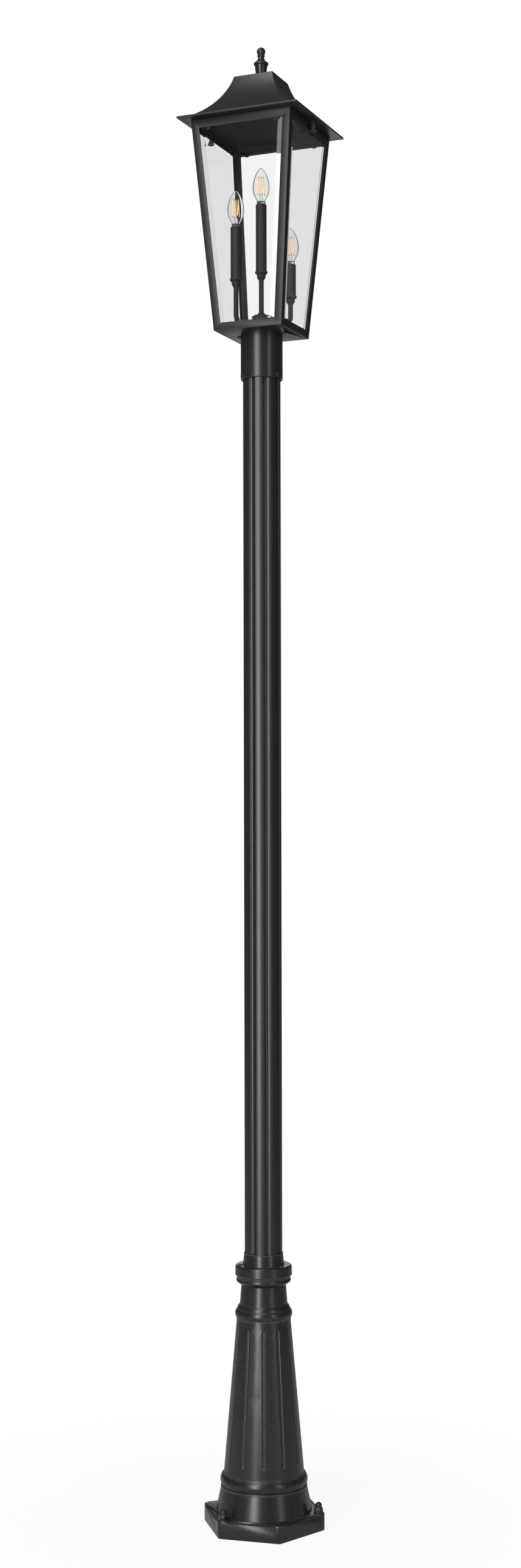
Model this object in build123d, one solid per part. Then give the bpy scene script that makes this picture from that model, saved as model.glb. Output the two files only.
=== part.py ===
from build123d import *
from math import acos, atan, cos, degrees, radians, sin, sqrt
import os

# Post lantern with three candle lights, in millimetres. +Z is up and the origin is the centre of the foot's
# underside. The lantern's front is -Y and its right is +X.

os.makedirs("parts", exist_ok=True)

# ---- driving dimensions ----

# gaps between pieces
seat_gap = 0.3            # between faces that rest on each other and part again
slip_gap = 0.1            # radial, between a rod and the hole that it stands in
turn_gap = 0.2            # between a screw or knob and what it turns against
glass_gap = 0.3           # each side of a pane

# foot
foot_across_corners = 255.2
foot_height = 35.0
foot_corner_radius = 8.0
foot_turn = 7.3           # degrees, from +X to the first corner
foot_skirt = 9.0
foot_roof = 10.0
foot_hole_radius = 80.0
ledge_drop = 3.5
ledge_depth = 12.0
ledge_end = 14.0          # from the corner to the end of the ledge

# anchor hardware
anchor_circle = 228.6
anchor_hole_radius = 5.5
anchor_boss_radius = 11.0
anchor_count = 3
washer_radius = 9.5
washer_thickness = 2.0
nut_across_flats = 16.0
nut_hex_height = 8.0
nut_height = 19.0
nut_dome_radius = 6.75
nut_bore_radius = 4.25
nut_bore_depth = 13.0

# base column, from the foot up
column_wall = 5.5
flare_foot_radius = 97.2
flare_top_radius = 87.4
flare_height = 47.0
lower_ring_radius = 88.7
lower_ring_height = 30.0
shaft_foot_radius = 81.4
shaft_top_radius = 54.8
shaft_height = 309.0
middle_ring_radius = 58.0
middle_ring_height = 30.0
neck_foot_radius = 48.5
neck_top_radius = 45.4
neck_height = 39.0
upper_ring_radius = 55.5
upper_ring_height = 18.0
socket_depth = 83.0       # of the post in the column
socket_ledge = 6.0        # thickness of the ledge that carries the post
socket_ledge_radius = 33.0
socket_ledge_taper = 12.0  # height of the cone under the ledge
column_flutes = 12
column_flute_radius = 5.0
column_flute_depth = 2.0
column_flute_foot = 26.0  # plain cone below the flutes
column_flute_top = 18.0   # plain cone above the flutes

# collar on the column
collar_height = 22.5
collar_radius = 57.9
collar_wall = 4.5
collar_edge_radius = 4.0
collar_neck_height = 24.0
collar_neck_wall = 1.6
collar_neck_flare = 1.6
collar_screw_circle = 98.0
collar_screw_turn = -21.4  # degrees
collar_screw_count = 3
collar_screw_radius = 2.0
collar_screw_depth = 9.0  # in the column
pan_head_radius = 4.5
pan_head_height = 2.8

# post
post_radius = 38.1
post_bore_radius = 33.5
post_length = 1990.7
post_flutes = 8
post_flute_width = 12.0
post_flute_depth = 2.5
post_flute_turn = -54.0   # degrees

# fitter, the sleeve that slips over the post
fitter_height = 92.0
fitter_wall = 2.9
fitter_post_gap = 1.6
fitter_roof = 3.0
clamp_screw_height = 6.5  # above the fitter's mouth
clamp_screw_turn = -18.9  # degrees
clamp_screw_count = 3
clamp_screw_radius = 2.5
clamp_head_radius = 3.75
clamp_head_height = 2.5

# lantern frame
frame_height = 418.7
frame_foot_half = 73.7
frame_wall = 2.0
post_width = 16.0
top_rail_height = 17.0
bottom_rail_height = 15.0
corner_block_size = 8.5
corner_block_height = 16.0
base_plate_thickness = 2.0
base_plate_gap = 0.2
ear_reach = 13.0          # out from the frame
ear_width = 15.0
ear_thickness = 2.5

# panes
glass_thickness = 4.0
glass_edge_thickness = 2.0
bevel_width = 15.0
glass_tuck = 5.0          # behind the posts
glass_top_drop = 9.0      # below the frame's top
clip_width = 8.0
clip_thickness = 1.0
clip_reach = 12.0         # down the pane
clip_foot = 6.0
clip_inset = 22.0         # from the pane's corner

# roof
roof_plate_half = 129.7
roof_overhang = 22.0       # past the lantern frame's top
roof_plate_thickness = 3.5
roof_plate_hole_half = 80.0
dome_inset = 11.7          # from the roof plate's edge
dome_top_half = 42.0
dome_height = 95.2
dome_curve = 156.2
dome_wall = 1.5
cap_half = 29.7
cap_thickness = 4.0
ceiling_inset = 12.2       # from the lantern frame's top
ceiling_wall = 1.5
ceiling_rim = 12.0
ceiling_rivet_radius = 3.0
ceiling_rivet_height = 1.2
ceiling_rivet_inset = 13.0

# thumb screws that hold the roof
thumb_screw_gap = 1.05     # between its head and the lantern frame
thumb_head_radius = 5.25
thumb_head_height = 17.0
thumb_flange_radius = 7.0
thumb_flange_height = 2.0
thumb_recess_radius = 3.5
thumb_recess_depth = 2.5
thumb_shank_radius = 2.0
roof_insert_radius = 3.5

# finial, from the cap up
finial_cup_foot_radius = 8.8
finial_cup_radius = 12.5
finial_cup_height = 25.5
finial_ring_radius = 14.9
finial_ring_height = 6.0
finial_neck_radius = 6.4
finial_neck_height = 12.0
finial_bead_radius = 7.7
finial_bead_height = 3.6
finial_ball_radius = 8.75
finial_stud_radius = 3.0
finial_stud_length = 17.0
finial_nut_across_flats = 10.0
finial_nut_height = 5.0

# candle cluster
strap_length = 124.0
strap_width = 20.0
strap_thickness = 2.5
strap_screw_place = 50.0
strap_screw_radius = 2.0
nipple_radius = 5.0
nipple_bore_radius = 3.2
nipple_drop = 8.0         # below the fitter's roof
nipple_rise = 9.5         # above the strap
nipple_nut_across_flats = 14.0
nipple_nut_height = 4.0
hub_radius = 20.0
hub_wall = 3.0
hub_height = 23.7
hub_cover_radius = 23.5
hub_cover_height = 11.3
hub_cover_wall = 2.0
hub_cover_step = 3.5      # from its rim in to its raised middle
coupling_radius = 7.5
coupling_height = 4.5
arm_radius = 5.0
arm_bore_radius = 3.5
arm_height = 14.2         # of the arm's axis above the strap
arm_bend = 20.0
arm_turn = 33.0           # degrees, from +X to the right arm
left_reach = 52.0
right_reach = 57.5
center_sleeve_top = 262.0   # sleeve tops above the base plate
left_sleeve_top = 213.8
right_sleeve_top = 142.7
center_sleeve_length = 137.2
left_sleeve_length = 105.8
right_sleeve_length = 65.0
sleeve_radius = 11.0
sleeve_wall = 1.0
cup_radius = 12.6
cup_height = 16.0
cup_recess = 1.5
cup_foot_radius = 6.8
socket_radius = 9.5
socket_height = 33.0
socket_bore_radius = 6.6
socket_bore_depth = 24.0
socket_drop = 1.0         # below the sleeve's top
socket_arm_depth = 6.0

# bulbs
bulb_radius = 17.0
bulb_height = 69.0
bulb_neck_radius = 7.4
bulb_neck_depth = 3.5
bulb_wall = 1.0
bulb_collar_radius = 9.0
bulb_collar_show = 6.5    # above the sleeve
bulb_thread_radius = 6.0
bulb_thread_height = 14.0
bulb_tip_radius = 2.4
bulb_tip_height = 3.0
mount_foot_radius = 5.6
mount_top_radius = 1.6
mount_height = 14.0
mount_rod_radius = 1.2
spider_size = 0.6
filament_width = 1.8
filament_thickness = 1.0
filament_length = 34.0
filament_foot_radius = 7.9
filament_top_radius = 7.1
filament_twist = 23.0      # degrees, from the foot to the top
filament_count = 4

# ---- places that follow from the driving dimensions ----

foot_radius = foot_across_corners / 2
column_top = foot_height + flare_height + lower_ring_height + shaft_height
column_top += middle_ring_height + neck_height + upper_ring_height
post_foot = column_top - socket_depth
post_top = post_foot + post_length
fitter_radius = post_radius + fitter_post_gap + fitter_wall
fitter_bore_radius = post_radius + fitter_post_gap
fitter_ceiling = post_top + seat_gap
fitter_top = fitter_ceiling + fitter_roof
fitter_mouth = fitter_top - fitter_height
frame_foot = fitter_top
frame_top = frame_foot + frame_height
frame_top_half = roof_plate_half - roof_overhang
frame_taper = (frame_top_half - frame_foot_half) / frame_height
frame_lean = atan(frame_taper)
base_plate_top = frame_foot + base_plate_thickness
strap_top = base_plate_top + strap_thickness
hub_top = strap_top + hub_height
arm_level = strap_top + arm_height
roof_underside = frame_top + seat_gap
roof_plate_top = roof_underside + roof_plate_thickness
dome_top = roof_plate_top + dome_height
cap_top = dome_top + cap_thickness
dome_foot_half = roof_plate_half - dome_inset
ceiling_half = frame_top_half - ceiling_inset
thumb_screw_place = frame_top_half + thumb_screw_gap + thumb_head_radius
anchor_turns = [foot_turn + 360 / anchor_count * k for k in range(anchor_count)]


# ---- shared shapes ----

def outline(*stops):
    """Closed face from its stops: a point ends a line, and a pair of points is an arc through the first."""
    edges = []
    here = stops[0]
    for stop in stops[1:]:
        if isinstance(stop[0], tuple):
            edges.append(ThreePointArc(here, stop[0], stop[1]))
            here = stop[1]
        else:
            edges.append(Line(here, stop))
            here = stop
    if here != stops[0]:
        edges.append(Line(here, stops[0]))
    return make_face(edges)


def turned(*stops):
    """Solid of revolution about Z from an outline of (radius, height) stops."""
    return revolve(Plane.XZ * outline(*stops), Axis.Z)


def crown(radius, foot, rise):
    """Arc stop of a ball-shaped end, from (radius, foot) to the axis; a negative rise hangs down."""
    ball = (radius ** 2 + rise ** 2) / (2 * abs(rise))
    way = 1 if rise > 0 else -1
    centre = foot + rise - way * ball
    half_angle = atan(radius / (ball - abs(rise))) / 2 if ball > abs(rise) else radians(45)
    return (ball * sin(half_angle), centre + way * ball * cos(half_angle)), (0, foot + rise)


def rod(radius, foot, top):
    """Cylinder about Z between two heights."""
    return Pos(0, 0, foot) * extrude(Circle(radius), top - foot)


def tube(radius, bore_radius, foot, top):
    """Round tube about Z between two heights."""
    return Pos(0, 0, foot) * extrude(Circle(radius) - Circle(bore_radius), top - foot)


def block(low, high):
    """Box between two corners."""
    size = [b - a for a, b in zip(low, high)]
    centre = [(a + b) / 2 for a, b in zip(low, high)]
    return Pos(*centre) * Box(*size)


def hexagon(across_flats, foot, top):
    """Hexagonal prism about Z."""
    return Pos(0, 0, foot) * extrude(RegularPolygon(across_flats / 2, 6, major_radius=False), top - foot)


def polar(radius, turns, solid):
    """Copies of a solid that stands on +X, set at a radius and at each angle."""
    return [Rot(0, 0, turn) * Pos(radius, 0, 0) * solid for turn in turns]


def even_turns(count, start):
    """Evenly spaced angles in degrees."""
    return [start + 360 / count * k for k in range(count)]


def crossed(face):
    """Four-sided solid: a symmetric outline of (half width, height), met by its copy a quarter turn round."""
    along_y = extrude(Plane.XZ * face, roof_plate_half * 2, both=True)
    return along_y & (Rot(0, 0, 90) * along_y)


def frame_half(height):
    """Half width of the lantern's outside at a height."""
    return frame_foot_half + (height - frame_foot) * frame_taper


def trapezoid(inset, foot, top):
    """Outline of the lantern's side, drawn in by an inset, between two heights."""
    low = frame_half(foot) - inset
    high = frame_half(top) - inset
    return outline((-low, foot), (low, foot), (high, top), (-high, top))


def frustum(inset, foot, top):
    """The lantern's tapered body, drawn in by an inset."""
    return crossed(trapezoid(inset, foot, top))


def skin(foot, top):
    """The sheet of the lantern frame between two heights."""
    return frustum(0, foot, top) - frustum(frame_wall, foot, top)


def side_bars(inset, foot, top):
    """The four sides' middles, out to an inset from the corners."""
    bar = extrude(Plane.XZ * trapezoid(inset, foot, top), roof_plate_half * 2, both=True)
    return bar, Rot(0, 0, 90) * bar


def write(node, *solids):
    """One STEP file for a node of one or more solids."""
    parts = [solid for shape in solids for solid in shape.solids()]
    shape = parts[0] if len(parts) == 1 else Compound(parts)
    export_step(shape, os.path.join("parts", node + ".step"))


# ---- foot ----

def foot_plate():
    plan = RegularPolygon(foot_radius, 6, major_radius=True)
    plan = fillet(plan.vertices(), foot_corner_radius)
    body = extrude(plan, foot_height)
    inner_radius = foot_radius - foot_skirt / cos(radians(30))
    body -= extrude(RegularPolygon(inner_radius, 6, major_radius=True), foot_height - foot_roof)
    boss = rod(anchor_boss_radius, 0, foot_height)
    for shape in polar(anchor_circle / 2, even_turns(anchor_count, 0), boss):
        body += shape
    apothem = foot_radius * cos(radians(30))
    half = foot_radius / 2 - ledge_end
    ledge = outline(
        (-half, 0),
        ((0, -ledge_depth), (half, 0)),
        (half, foot_skirt),
        (-half, foot_skirt),
    )
    cutter = Pos(0, apothem, foot_height - ledge_drop) * extrude(ledge, foot_roof)
    for turn in even_turns(6, 0):
        body -= Rot(0, 0, turn) * cutter
    body -= rod(foot_hole_radius, 0, foot_height)
    hole = rod(anchor_hole_radius, 0, foot_height)
    for shape in polar(anchor_circle / 2, even_turns(anchor_count, 0), hole):
        body -= shape
    return Rot(0, 0, foot_turn) * body


def anchor_washers():
    washer = tube(washer_radius, anchor_hole_radius, foot_height, foot_height + washer_thickness)
    return polar(anchor_circle / 2, anchor_turns, washer)


def acorn_nuts():
    foot = foot_height + washer_thickness
    shoulder = foot + nut_hex_height
    spring = foot + nut_height - nut_dome_radius
    slope = nut_dome_radius * sin(radians(45))
    dome = turned(
        (0, foot),
        (nut_dome_radius, foot),
        (nut_dome_radius, spring),
        ((slope, spring + slope), (0, spring + nut_dome_radius)),
    )
    corner = nut_across_flats / 2 / cos(radians(30))
    chamfer_cone = turned(
        (0, foot - 1),
        (corner + 1, foot - 1),
        (corner + 1, shoulder - 2.6),
        (nut_across_flats / 2 - 0.6, shoulder),
        (0, shoulder),
    )
    nut = (hexagon(nut_across_flats, foot, shoulder) & chamfer_cone) + dome
    nut -= rod(nut_bore_radius, foot, foot + nut_bore_depth)
    return polar(anchor_circle / 2, anchor_turns, nut)


# ---- base column ----

flare_top = foot_height + flare_height
shaft_foot = flare_top + lower_ring_height
shaft_top = shaft_foot + shaft_height
neck_foot = shaft_top + middle_ring_height
neck_top = neck_foot + neck_height
ledge_foot = post_foot - socket_ledge


def base_column():
    ring = lower_ring_height
    middle = middle_ring_height
    upper = upper_ring_height
    body = turned(
        (flare_foot_radius - column_wall, foot_height),
        (flare_foot_radius, foot_height),
        (flare_top_radius, flare_top),
        (flare_top_radius + 0.6, flare_top + 1.5),
        (flare_top_radius + 0.2, flare_top + 3.0),
        (lower_ring_radius - 3.0, flare_top + 4.0),
        ((lower_ring_radius, flare_top + 0.5 * ring), (lower_ring_radius - 4.8, shaft_foot - 3.5)),
        (shaft_foot_radius + 1.6, shaft_foot - 3.0),
        (shaft_foot_radius + 1.2, shaft_foot - 1.0),
        (shaft_foot_radius, shaft_foot),
        (shaft_top_radius, shaft_top),
        (shaft_top_radius + 0.8, shaft_top + 1.0),
        (shaft_top_radius + 0.4, shaft_top + 2.5),
        ((middle_ring_radius, shaft_top + 0.40 * middle), (middle_ring_radius - 3.4, shaft_top + 0.68 * middle)),
        (middle_ring_radius - 4.4, shaft_top + 0.70 * middle),
        ((middle_ring_radius - 5.4, shaft_top + 0.82 * middle), (neck_foot_radius + 1.6, neck_foot - 1.5)),
        (neck_foot_radius, neck_foot),
        (neck_top_radius, neck_top),
        ((neck_top_radius + 3.4, neck_top + 2.5), (upper_ring_radius - 1.2, neck_top + 0.36 * upper)),
        ((upper_ring_radius, neck_top + 0.52 * upper), (upper_ring_radius - 0.9, neck_top + 0.70 * upper)),
        (upper_ring_radius - 1.6, neck_top + 0.74 * upper),
        (upper_ring_radius - 0.6, neck_top + 0.84 * upper),
        (upper_ring_radius - 0.6, column_top),
        (post_radius + seat_gap, column_top),
        (post_radius + seat_gap, post_foot),
        (socket_ledge_radius, post_foot),
        (socket_ledge_radius, ledge_foot),
        (shaft_top_radius - column_wall, ledge_foot - socket_ledge_taper),
        (shaft_foot_radius - column_wall, shaft_foot),
        (flare_top_radius - column_wall, flare_top),
    )
    slope = (shaft_foot_radius - shaft_top_radius) / shaft_height
    lean = degrees(atan(slope))
    low = shaft_foot + column_flute_foot
    high = shaft_top - column_flute_top
    axis_radius = shaft_foot_radius - column_flute_foot * slope + column_flute_radius - column_flute_depth
    run = (high - low) / cos(radians(lean))
    capsule = rod(column_flute_radius, 0, run) + Sphere(column_flute_radius)
    capsule += Pos(0, 0, run) * Sphere(column_flute_radius)
    cutter = Pos(axis_radius, 0, low) * Rot(0, -lean, 0) * capsule
    for turn in even_turns(column_flutes, foot_turn + 180 / column_flutes):
        body -= Rot(0, 0, turn) * cutter
    tap = rod(collar_screw_radius + slip_gap, column_top - collar_screw_depth, column_top)
    for shape in polar(collar_screw_circle / 2, even_turns(collar_screw_count, collar_screw_turn), tap):
        body -= shape
    return body


# ---- collar ----

collar_top = column_top + collar_height
collar_neck_top = collar_top + collar_neck_height
collar_bore_radius = post_radius + seat_gap


def post_collar():
    neck_foot_outer = collar_bore_radius + collar_neck_wall + collar_neck_flare
    recess_inner = collar_bore_radius + collar_wall
    recess_outer = collar_radius - 2 * collar_wall
    edge = collar_edge_radius
    turn_in = edge * (1 - cos(radians(45)))
    body = turned(
        (collar_bore_radius, column_top),
        (recess_inner, column_top),
        (recess_inner, collar_top - collar_wall),
        (recess_outer, collar_top - collar_wall),
        (recess_outer, column_top),
        (collar_radius - 2.2, column_top),
        (collar_radius - 1.8, column_top + 1.6),
        (collar_radius, column_top + 3.0),
        (collar_radius - 0.7, collar_top - edge),
        ((collar_radius - 0.7 - turn_in, collar_top - turn_in), (collar_radius - 0.7 - edge, collar_top)),
        (neck_foot_outer + 2.0, collar_top),
        ((neck_foot_outer + 0.5, collar_top + 0.5), (neck_foot_outer, collar_top + 2.0)),
        (collar_bore_radius + collar_neck_wall - 0.4, collar_neck_top - 1.8),
        (collar_bore_radius + collar_neck_wall, collar_neck_top - 1.4),
        (collar_bore_radius + collar_neck_wall, collar_neck_top),
        (collar_bore_radius, collar_neck_top),
    )
    hole = rod(collar_screw_radius + slip_gap, column_top, collar_top)
    for shape in polar(collar_screw_circle / 2, even_turns(collar_screw_count, collar_screw_turn), hole):
        body -= shape
    return body


def pan_screw(seat, length, shank_radius, head_radius, head_height):
    """Screw with a domed head on a seat and its shank below."""
    edge = head_height * 0.35
    body = turned(
        (0, seat - length),
        (shank_radius, seat - length),
        (shank_radius, seat),
        (head_radius, seat),
        (head_radius, seat + edge),
        crown(head_radius, seat + edge, head_height - edge),
    )
    slot_half = head_radius * 0.6
    slot_width = head_radius * 0.12
    slot_floor = seat + head_height * 0.45
    slot = block((-slot_half, -slot_width, slot_floor), (slot_half, slot_width, seat + head_height + 1))
    for turn in (0, 90):
        body -= Rot(0, 0, turn) * slot
    return body


def collar_screws():
    length = collar_height + collar_screw_depth - 1.0
    screw = pan_screw(collar_top, length, collar_screw_radius, pan_head_radius, pan_head_height)
    return polar(collar_screw_circle / 2, even_turns(collar_screw_count, collar_screw_turn), screw)


# ---- post ----

def post_tube():
    body = tube(post_radius, post_bore_radius, post_foot, post_top)
    half = post_flute_width / 2
    cut_radius = (half ** 2 + post_flute_depth ** 2) / (2 * post_flute_depth)
    centre = (post_radius ** 2 - half ** 2) ** 0.5 - post_flute_depth + cut_radius
    cutter = rod(cut_radius, post_foot, post_top)
    for shape in polar(centre, even_turns(post_flutes, post_flute_turn), cutter):
        body -= shape
    return body


# ---- fitter ----

clamp_level = fitter_mouth + clamp_screw_height
clamp_turns = even_turns(clamp_screw_count, clamp_screw_turn)
clamp_seat = fitter_radius - 0.2


def fitter_sleeve():
    body = turned(
        (fitter_bore_radius, fitter_mouth),
        (fitter_radius - 0.5, fitter_mouth),
        (fitter_radius, fitter_mouth + 0.5),
        (fitter_radius, fitter_top),
        (nipple_radius + slip_gap, fitter_top),
        (nipple_radius + slip_gap, fitter_ceiling),
        (fitter_bore_radius, fitter_ceiling),
    )
    hole = rod(clamp_screw_radius + slip_gap, fitter_bore_radius - 1, fitter_radius + 1)
    flat = rod(clamp_head_radius + slip_gap, clamp_seat, fitter_radius + 1)
    for turn in clamp_turns:
        place = Rot(0, 0, turn) * Pos(0, 0, clamp_level) * Rot(0, 90, 0)
        body -= place * hole
        body -= place * flat
    return body


def clamp_screws():
    tip = post_radius + seat_gap
    screw = pan_screw(clamp_seat, clamp_seat - tip, clamp_screw_radius, clamp_head_radius, clamp_head_height)
    return [Rot(0, 0, turn) * Pos(0, 0, clamp_level) * Rot(0, 90, 0) * screw for turn in clamp_turns]


# ---- lantern frame ----

def base_plate():
    half = frame_foot_half - frame_wall / cos(frame_lean) - base_plate_gap
    plate = block((-half, -half, frame_foot), (half, half, base_plate_top))
    plate -= rod(nipple_radius + slip_gap, frame_foot, base_plate_top)
    for side in (-1, 1):
        hole = rod(strap_screw_radius + slip_gap, frame_foot, base_plate_top)
        plate -= Pos(side * strap_screw_place, 0, 0) * hole
    return plate


def corner_posts():
    bar_x, bar_y = side_bars(post_width, frame_foot - 1, frame_top + 1)
    return skin(frame_foot, frame_top) - bar_x - bar_y


def rails(foot, top):
    """Four strips between the corner posts."""
    bar_x, bar_y = side_bars(post_width, foot, top)
    strip = skin(foot, top)
    return [strip & bar_x, strip & bar_y]


def top_rails():
    """Four strips at the frame's top; the left and right ones carry the thumb screws' ears."""
    front_and_back, left_and_right = rails(frame_top - top_rail_height, frame_top)
    ear = block(
        (frame_top_half - frame_wall, -ear_width / 2, frame_top - ear_thickness),
        (frame_top_half + ear_reach, ear_width / 2, frame_top),
    )
    ear = fillet(ear.edges().filter_by(Axis.Z).sort_by(Axis.X)[-2:], ear_width / 3)
    hole = rod(thumb_shank_radius + turn_gap, frame_top - ear_thickness, frame_top)
    ear -= Pos(thumb_screw_place, 0, 0) * hole
    for turn in (0, 180):
        left_and_right += Rot(0, 0, turn) * ear
    return [front_and_back, left_and_right]


def corner_blocks():
    foot = frame_top - 3 - corner_block_height
    top = frame_top - 3
    core = frustum(frame_wall, foot, top)
    bar_x, bar_y = side_bars(frame_wall + corner_block_size, foot - 1, top + 1)
    return core - bar_x - bar_y


# ---- panes ----

glass_foot = base_plate_top + 2 * glass_gap
glass_top = frame_top - glass_top_drop
glass_edge = post_width - glass_tuck
pane_run = (glass_top - glass_foot) / cos(frame_lean)
pane_depth = frame_wall + glass_gap + glass_thickness


def pane_plane():
    """Plane of the front pane's inner face: X to the right, Y up the slope, Z outwards."""
    outward = Vector(0, -cos(frame_lean), -sin(frame_lean))
    surface = Vector(0, -frame_half(glass_foot), glass_foot)
    return Plane(surface - outward * pane_depth, x_dir=(1, 0, 0), z_dir=tuple(outward))


def glass_pane():
    low = frame_half(glass_foot) - glass_edge
    high = frame_half(glass_top) - glass_edge
    face = outline((-low, 0), (low, 0), (high, pane_run), (-high, pane_run))
    inner_low = low - bevel_width + bevel_width * frame_taper
    inner_high = high - bevel_width - bevel_width * frame_taper
    raised = outline(
        (-inner_low, bevel_width),
        (inner_low, bevel_width),
        (inner_high, pane_run - bevel_width),
        (-inner_high, pane_run - bevel_width),
    )
    slab = extrude(face, glass_edge_thickness)
    table = loft([Pos(0, 0, glass_edge_thickness) * face, Pos(0, 0, glass_thickness) * raised], ruled=True)
    return pane_plane() * (slab + table)


def glass_clips():
    """Bent strips on the top rails' inner faces, two to a pane, that hold the panes outwards."""
    flange = glass_thickness + glass_gap
    inner = -glass_gap
    half = frame_half(glass_top) - glass_edge - clip_inset
    lift = pane_run + glass_gap
    clips = []
    for side in (-1, 1):
        low = side * half - clip_width / 2
        high = side * half + clip_width / 2
        back = inner - clip_thickness
        tongue = block((low, pane_run - clip_reach, back), (high, lift + clip_thickness, inner))
        web = block((low, lift, back), (high, lift + clip_thickness, flange))
        foot = block((low, lift, flange - clip_thickness), (high, lift + clip_foot, flange))
        clips.append(pane_plane() * (tongue + web + foot))
    return [Rot(0, 0, turn) * clip for turn in (0, 90, 180, 270) for clip in clips]


# ---- roof ----

insert_places = [(side * thumb_screw_place, 0, 0) for side in (-1, 1)]


def roof_plate():
    plate = block(
        (-roof_plate_half, -roof_plate_half, roof_underside),
        (roof_plate_half, roof_plate_half, roof_plate_top),
    )
    plate = fillet(plate.edges().filter_by(Axis.Z), 1.2)
    hole_half = roof_plate_hole_half
    plate -= block((-hole_half, -hole_half, roof_underside), (hole_half, hole_half, roof_plate_top))
    for place in insert_places:
        plate -= Pos(*place) * rod(roof_insert_radius, roof_underside, roof_plate_top)
    return plate


def roof_inserts():
    ring = tube(roof_insert_radius, thumb_shank_radius + turn_gap, roof_underside, roof_plate_top)
    return [Pos(*place) * ring for place in insert_places]


def dome_body(inset, foot, top):
    """Four-sided dome with hollow-curved sides, its curve drawn in by an inset."""
    rise = dome_height
    spread = dome_foot_half - dome_top_half
    chord = (rise ** 2 + spread ** 2) ** 0.5
    stand_off = (dome_curve ** 2 - (chord / 2) ** 2) ** 0.5
    centre_x = (dome_foot_half + dome_top_half) / 2 + stand_off * rise / chord
    centre_z = roof_plate_top + rise / 2 + stand_off * spread / chord
    curve = dome_curve + inset

    def half(height):
        return centre_x - (curve ** 2 - (centre_z - height) ** 2) ** 0.5

    middle = (foot + top) / 2
    return crossed(outline(
        (-half(foot), foot),
        (half(foot), foot),
        ((half(middle), middle), (half(top), top)),
        (-half(top), top),
        ((-half(middle), middle), (-half(foot), foot)),
    ))


def roof_dome():
    body = dome_body(0, roof_plate_top, dome_top)
    body -= dome_body(dome_wall, roof_plate_top, dome_top - dome_wall)
    return body - rod(finial_stud_radius + turn_gap, dome_top - dome_wall, dome_top)


def roof_cap():
    body = block((-cap_half, -cap_half, dome_top), (cap_half, cap_half, cap_top))
    body = fillet(body.edges().filter_by(Axis.Z), 1.0)
    return body - rod(finial_stud_radius + turn_gap, dome_top, cap_top)


def ceiling_plate():
    tray = block(
        (-ceiling_half, -ceiling_half, roof_underside - ceiling_rim),
        (ceiling_half, ceiling_half, roof_underside),
    )
    inner = ceiling_half - ceiling_wall
    tray -= block(
        (-inner, -inner, roof_underside - ceiling_rim),
        (inner, inner, roof_underside - ceiling_wall),
    )
    return tray


def ceiling_rivets():
    seat = roof_underside - ceiling_wall
    rivet = turned(
        (0, seat),
        (ceiling_rivet_radius, seat),
        crown(ceiling_rivet_radius, seat, -ceiling_rivet_height),
    )
    place = ceiling_half - ceiling_rivet_inset
    return [Pos(x * place, y * place, 0) * rivet for x in (-1, 1) for y in (-1, 1)]


def finial():
    foot = cap_top + turn_gap
    cup = foot + finial_cup_height
    ring_top = cup + finial_ring_height
    neck_top_level = ring_top + finial_neck_height
    bead_top = neck_top_level + finial_bead_height
    ball = bead_top + finial_ball_radius * 0.75
    seat_radius = finial_ball_radius * (1 - 0.75 ** 2) ** 0.5
    return turned(
        (0, foot - finial_stud_length),
        (finial_stud_radius, foot - finial_stud_length),
        (finial_stud_radius, foot),
        (finial_cup_foot_radius, foot),
        ((finial_cup_radius - 0.8, foot + 0.62 * finial_cup_height), (finial_cup_radius, cup)),
        ((finial_ring_radius, cup + 0.45 * finial_ring_height), (finial_ring_radius - 1.6, ring_top)),
        ((finial_neck_radius + 2.4, ring_top + 3.6), (finial_neck_radius, neck_top_level)),
        ((finial_bead_radius, neck_top_level + finial_bead_height / 2), (seat_radius, bead_top)),
        ((finial_ball_radius, ball), (0, ball + finial_ball_radius)),
    )


def finial_nut():
    top = dome_top - dome_wall
    nut = hexagon(finial_nut_across_flats, top - finial_nut_height, top)
    return nut - rod(finial_stud_radius + slip_gap, top - finial_nut_height, top)


# ---- thumb screws ----

def thumb_screw(side):
    top = frame_top - ear_thickness - turn_gap
    foot = top - thumb_head_height
    body = turned(
        (0, foot + thumb_recess_depth),
        (thumb_recess_radius, foot + thumb_recess_depth),
        (thumb_recess_radius, foot),
        (thumb_flange_radius - 0.5, foot),
        (thumb_flange_radius, foot + 0.5),
        (thumb_flange_radius, foot + thumb_flange_height),
        (thumb_head_radius, foot + thumb_flange_height + 0.8),
        (thumb_head_radius, top),
        (thumb_shank_radius, top),
        (thumb_shank_radius, roof_plate_top - 0.4),
        (0, roof_plate_top - 0.4),
    )
    return Pos(side * thumb_screw_place, 0, 0) * body


# ---- candle cluster ----

hub_floor = strap_top + hub_wall
nipple_foot = fitter_ceiling - nipple_drop
nipple_top = strap_top + nipple_rise


def candle_strap():
    strap = block(
        (-strap_length / 2, -strap_width / 2, base_plate_top),
        (strap_length / 2, strap_width / 2, strap_top),
    )
    strap = fillet(strap.edges().filter_by(Axis.Z), strap_width / 4)
    strap -= rod(nipple_radius + slip_gap, base_plate_top, strap_top)
    for side in (-1, 1):
        tap = rod(strap_screw_radius + slip_gap, base_plate_top, strap_top)
        strap -= Pos(side * strap_screw_place, 0, 0) * tap
    return strap


def strap_screws():
    length = base_plate_thickness + strap_thickness + 1.5
    screw = pan_screw(0, length, strap_screw_radius, clamp_head_radius, clamp_head_height)
    screw = Pos(0, 0, frame_foot) * Rot(180, 0, 0) * screw
    return [Pos(side * strap_screw_place, 0, 0) * screw for side in (-1, 1)]


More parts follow.
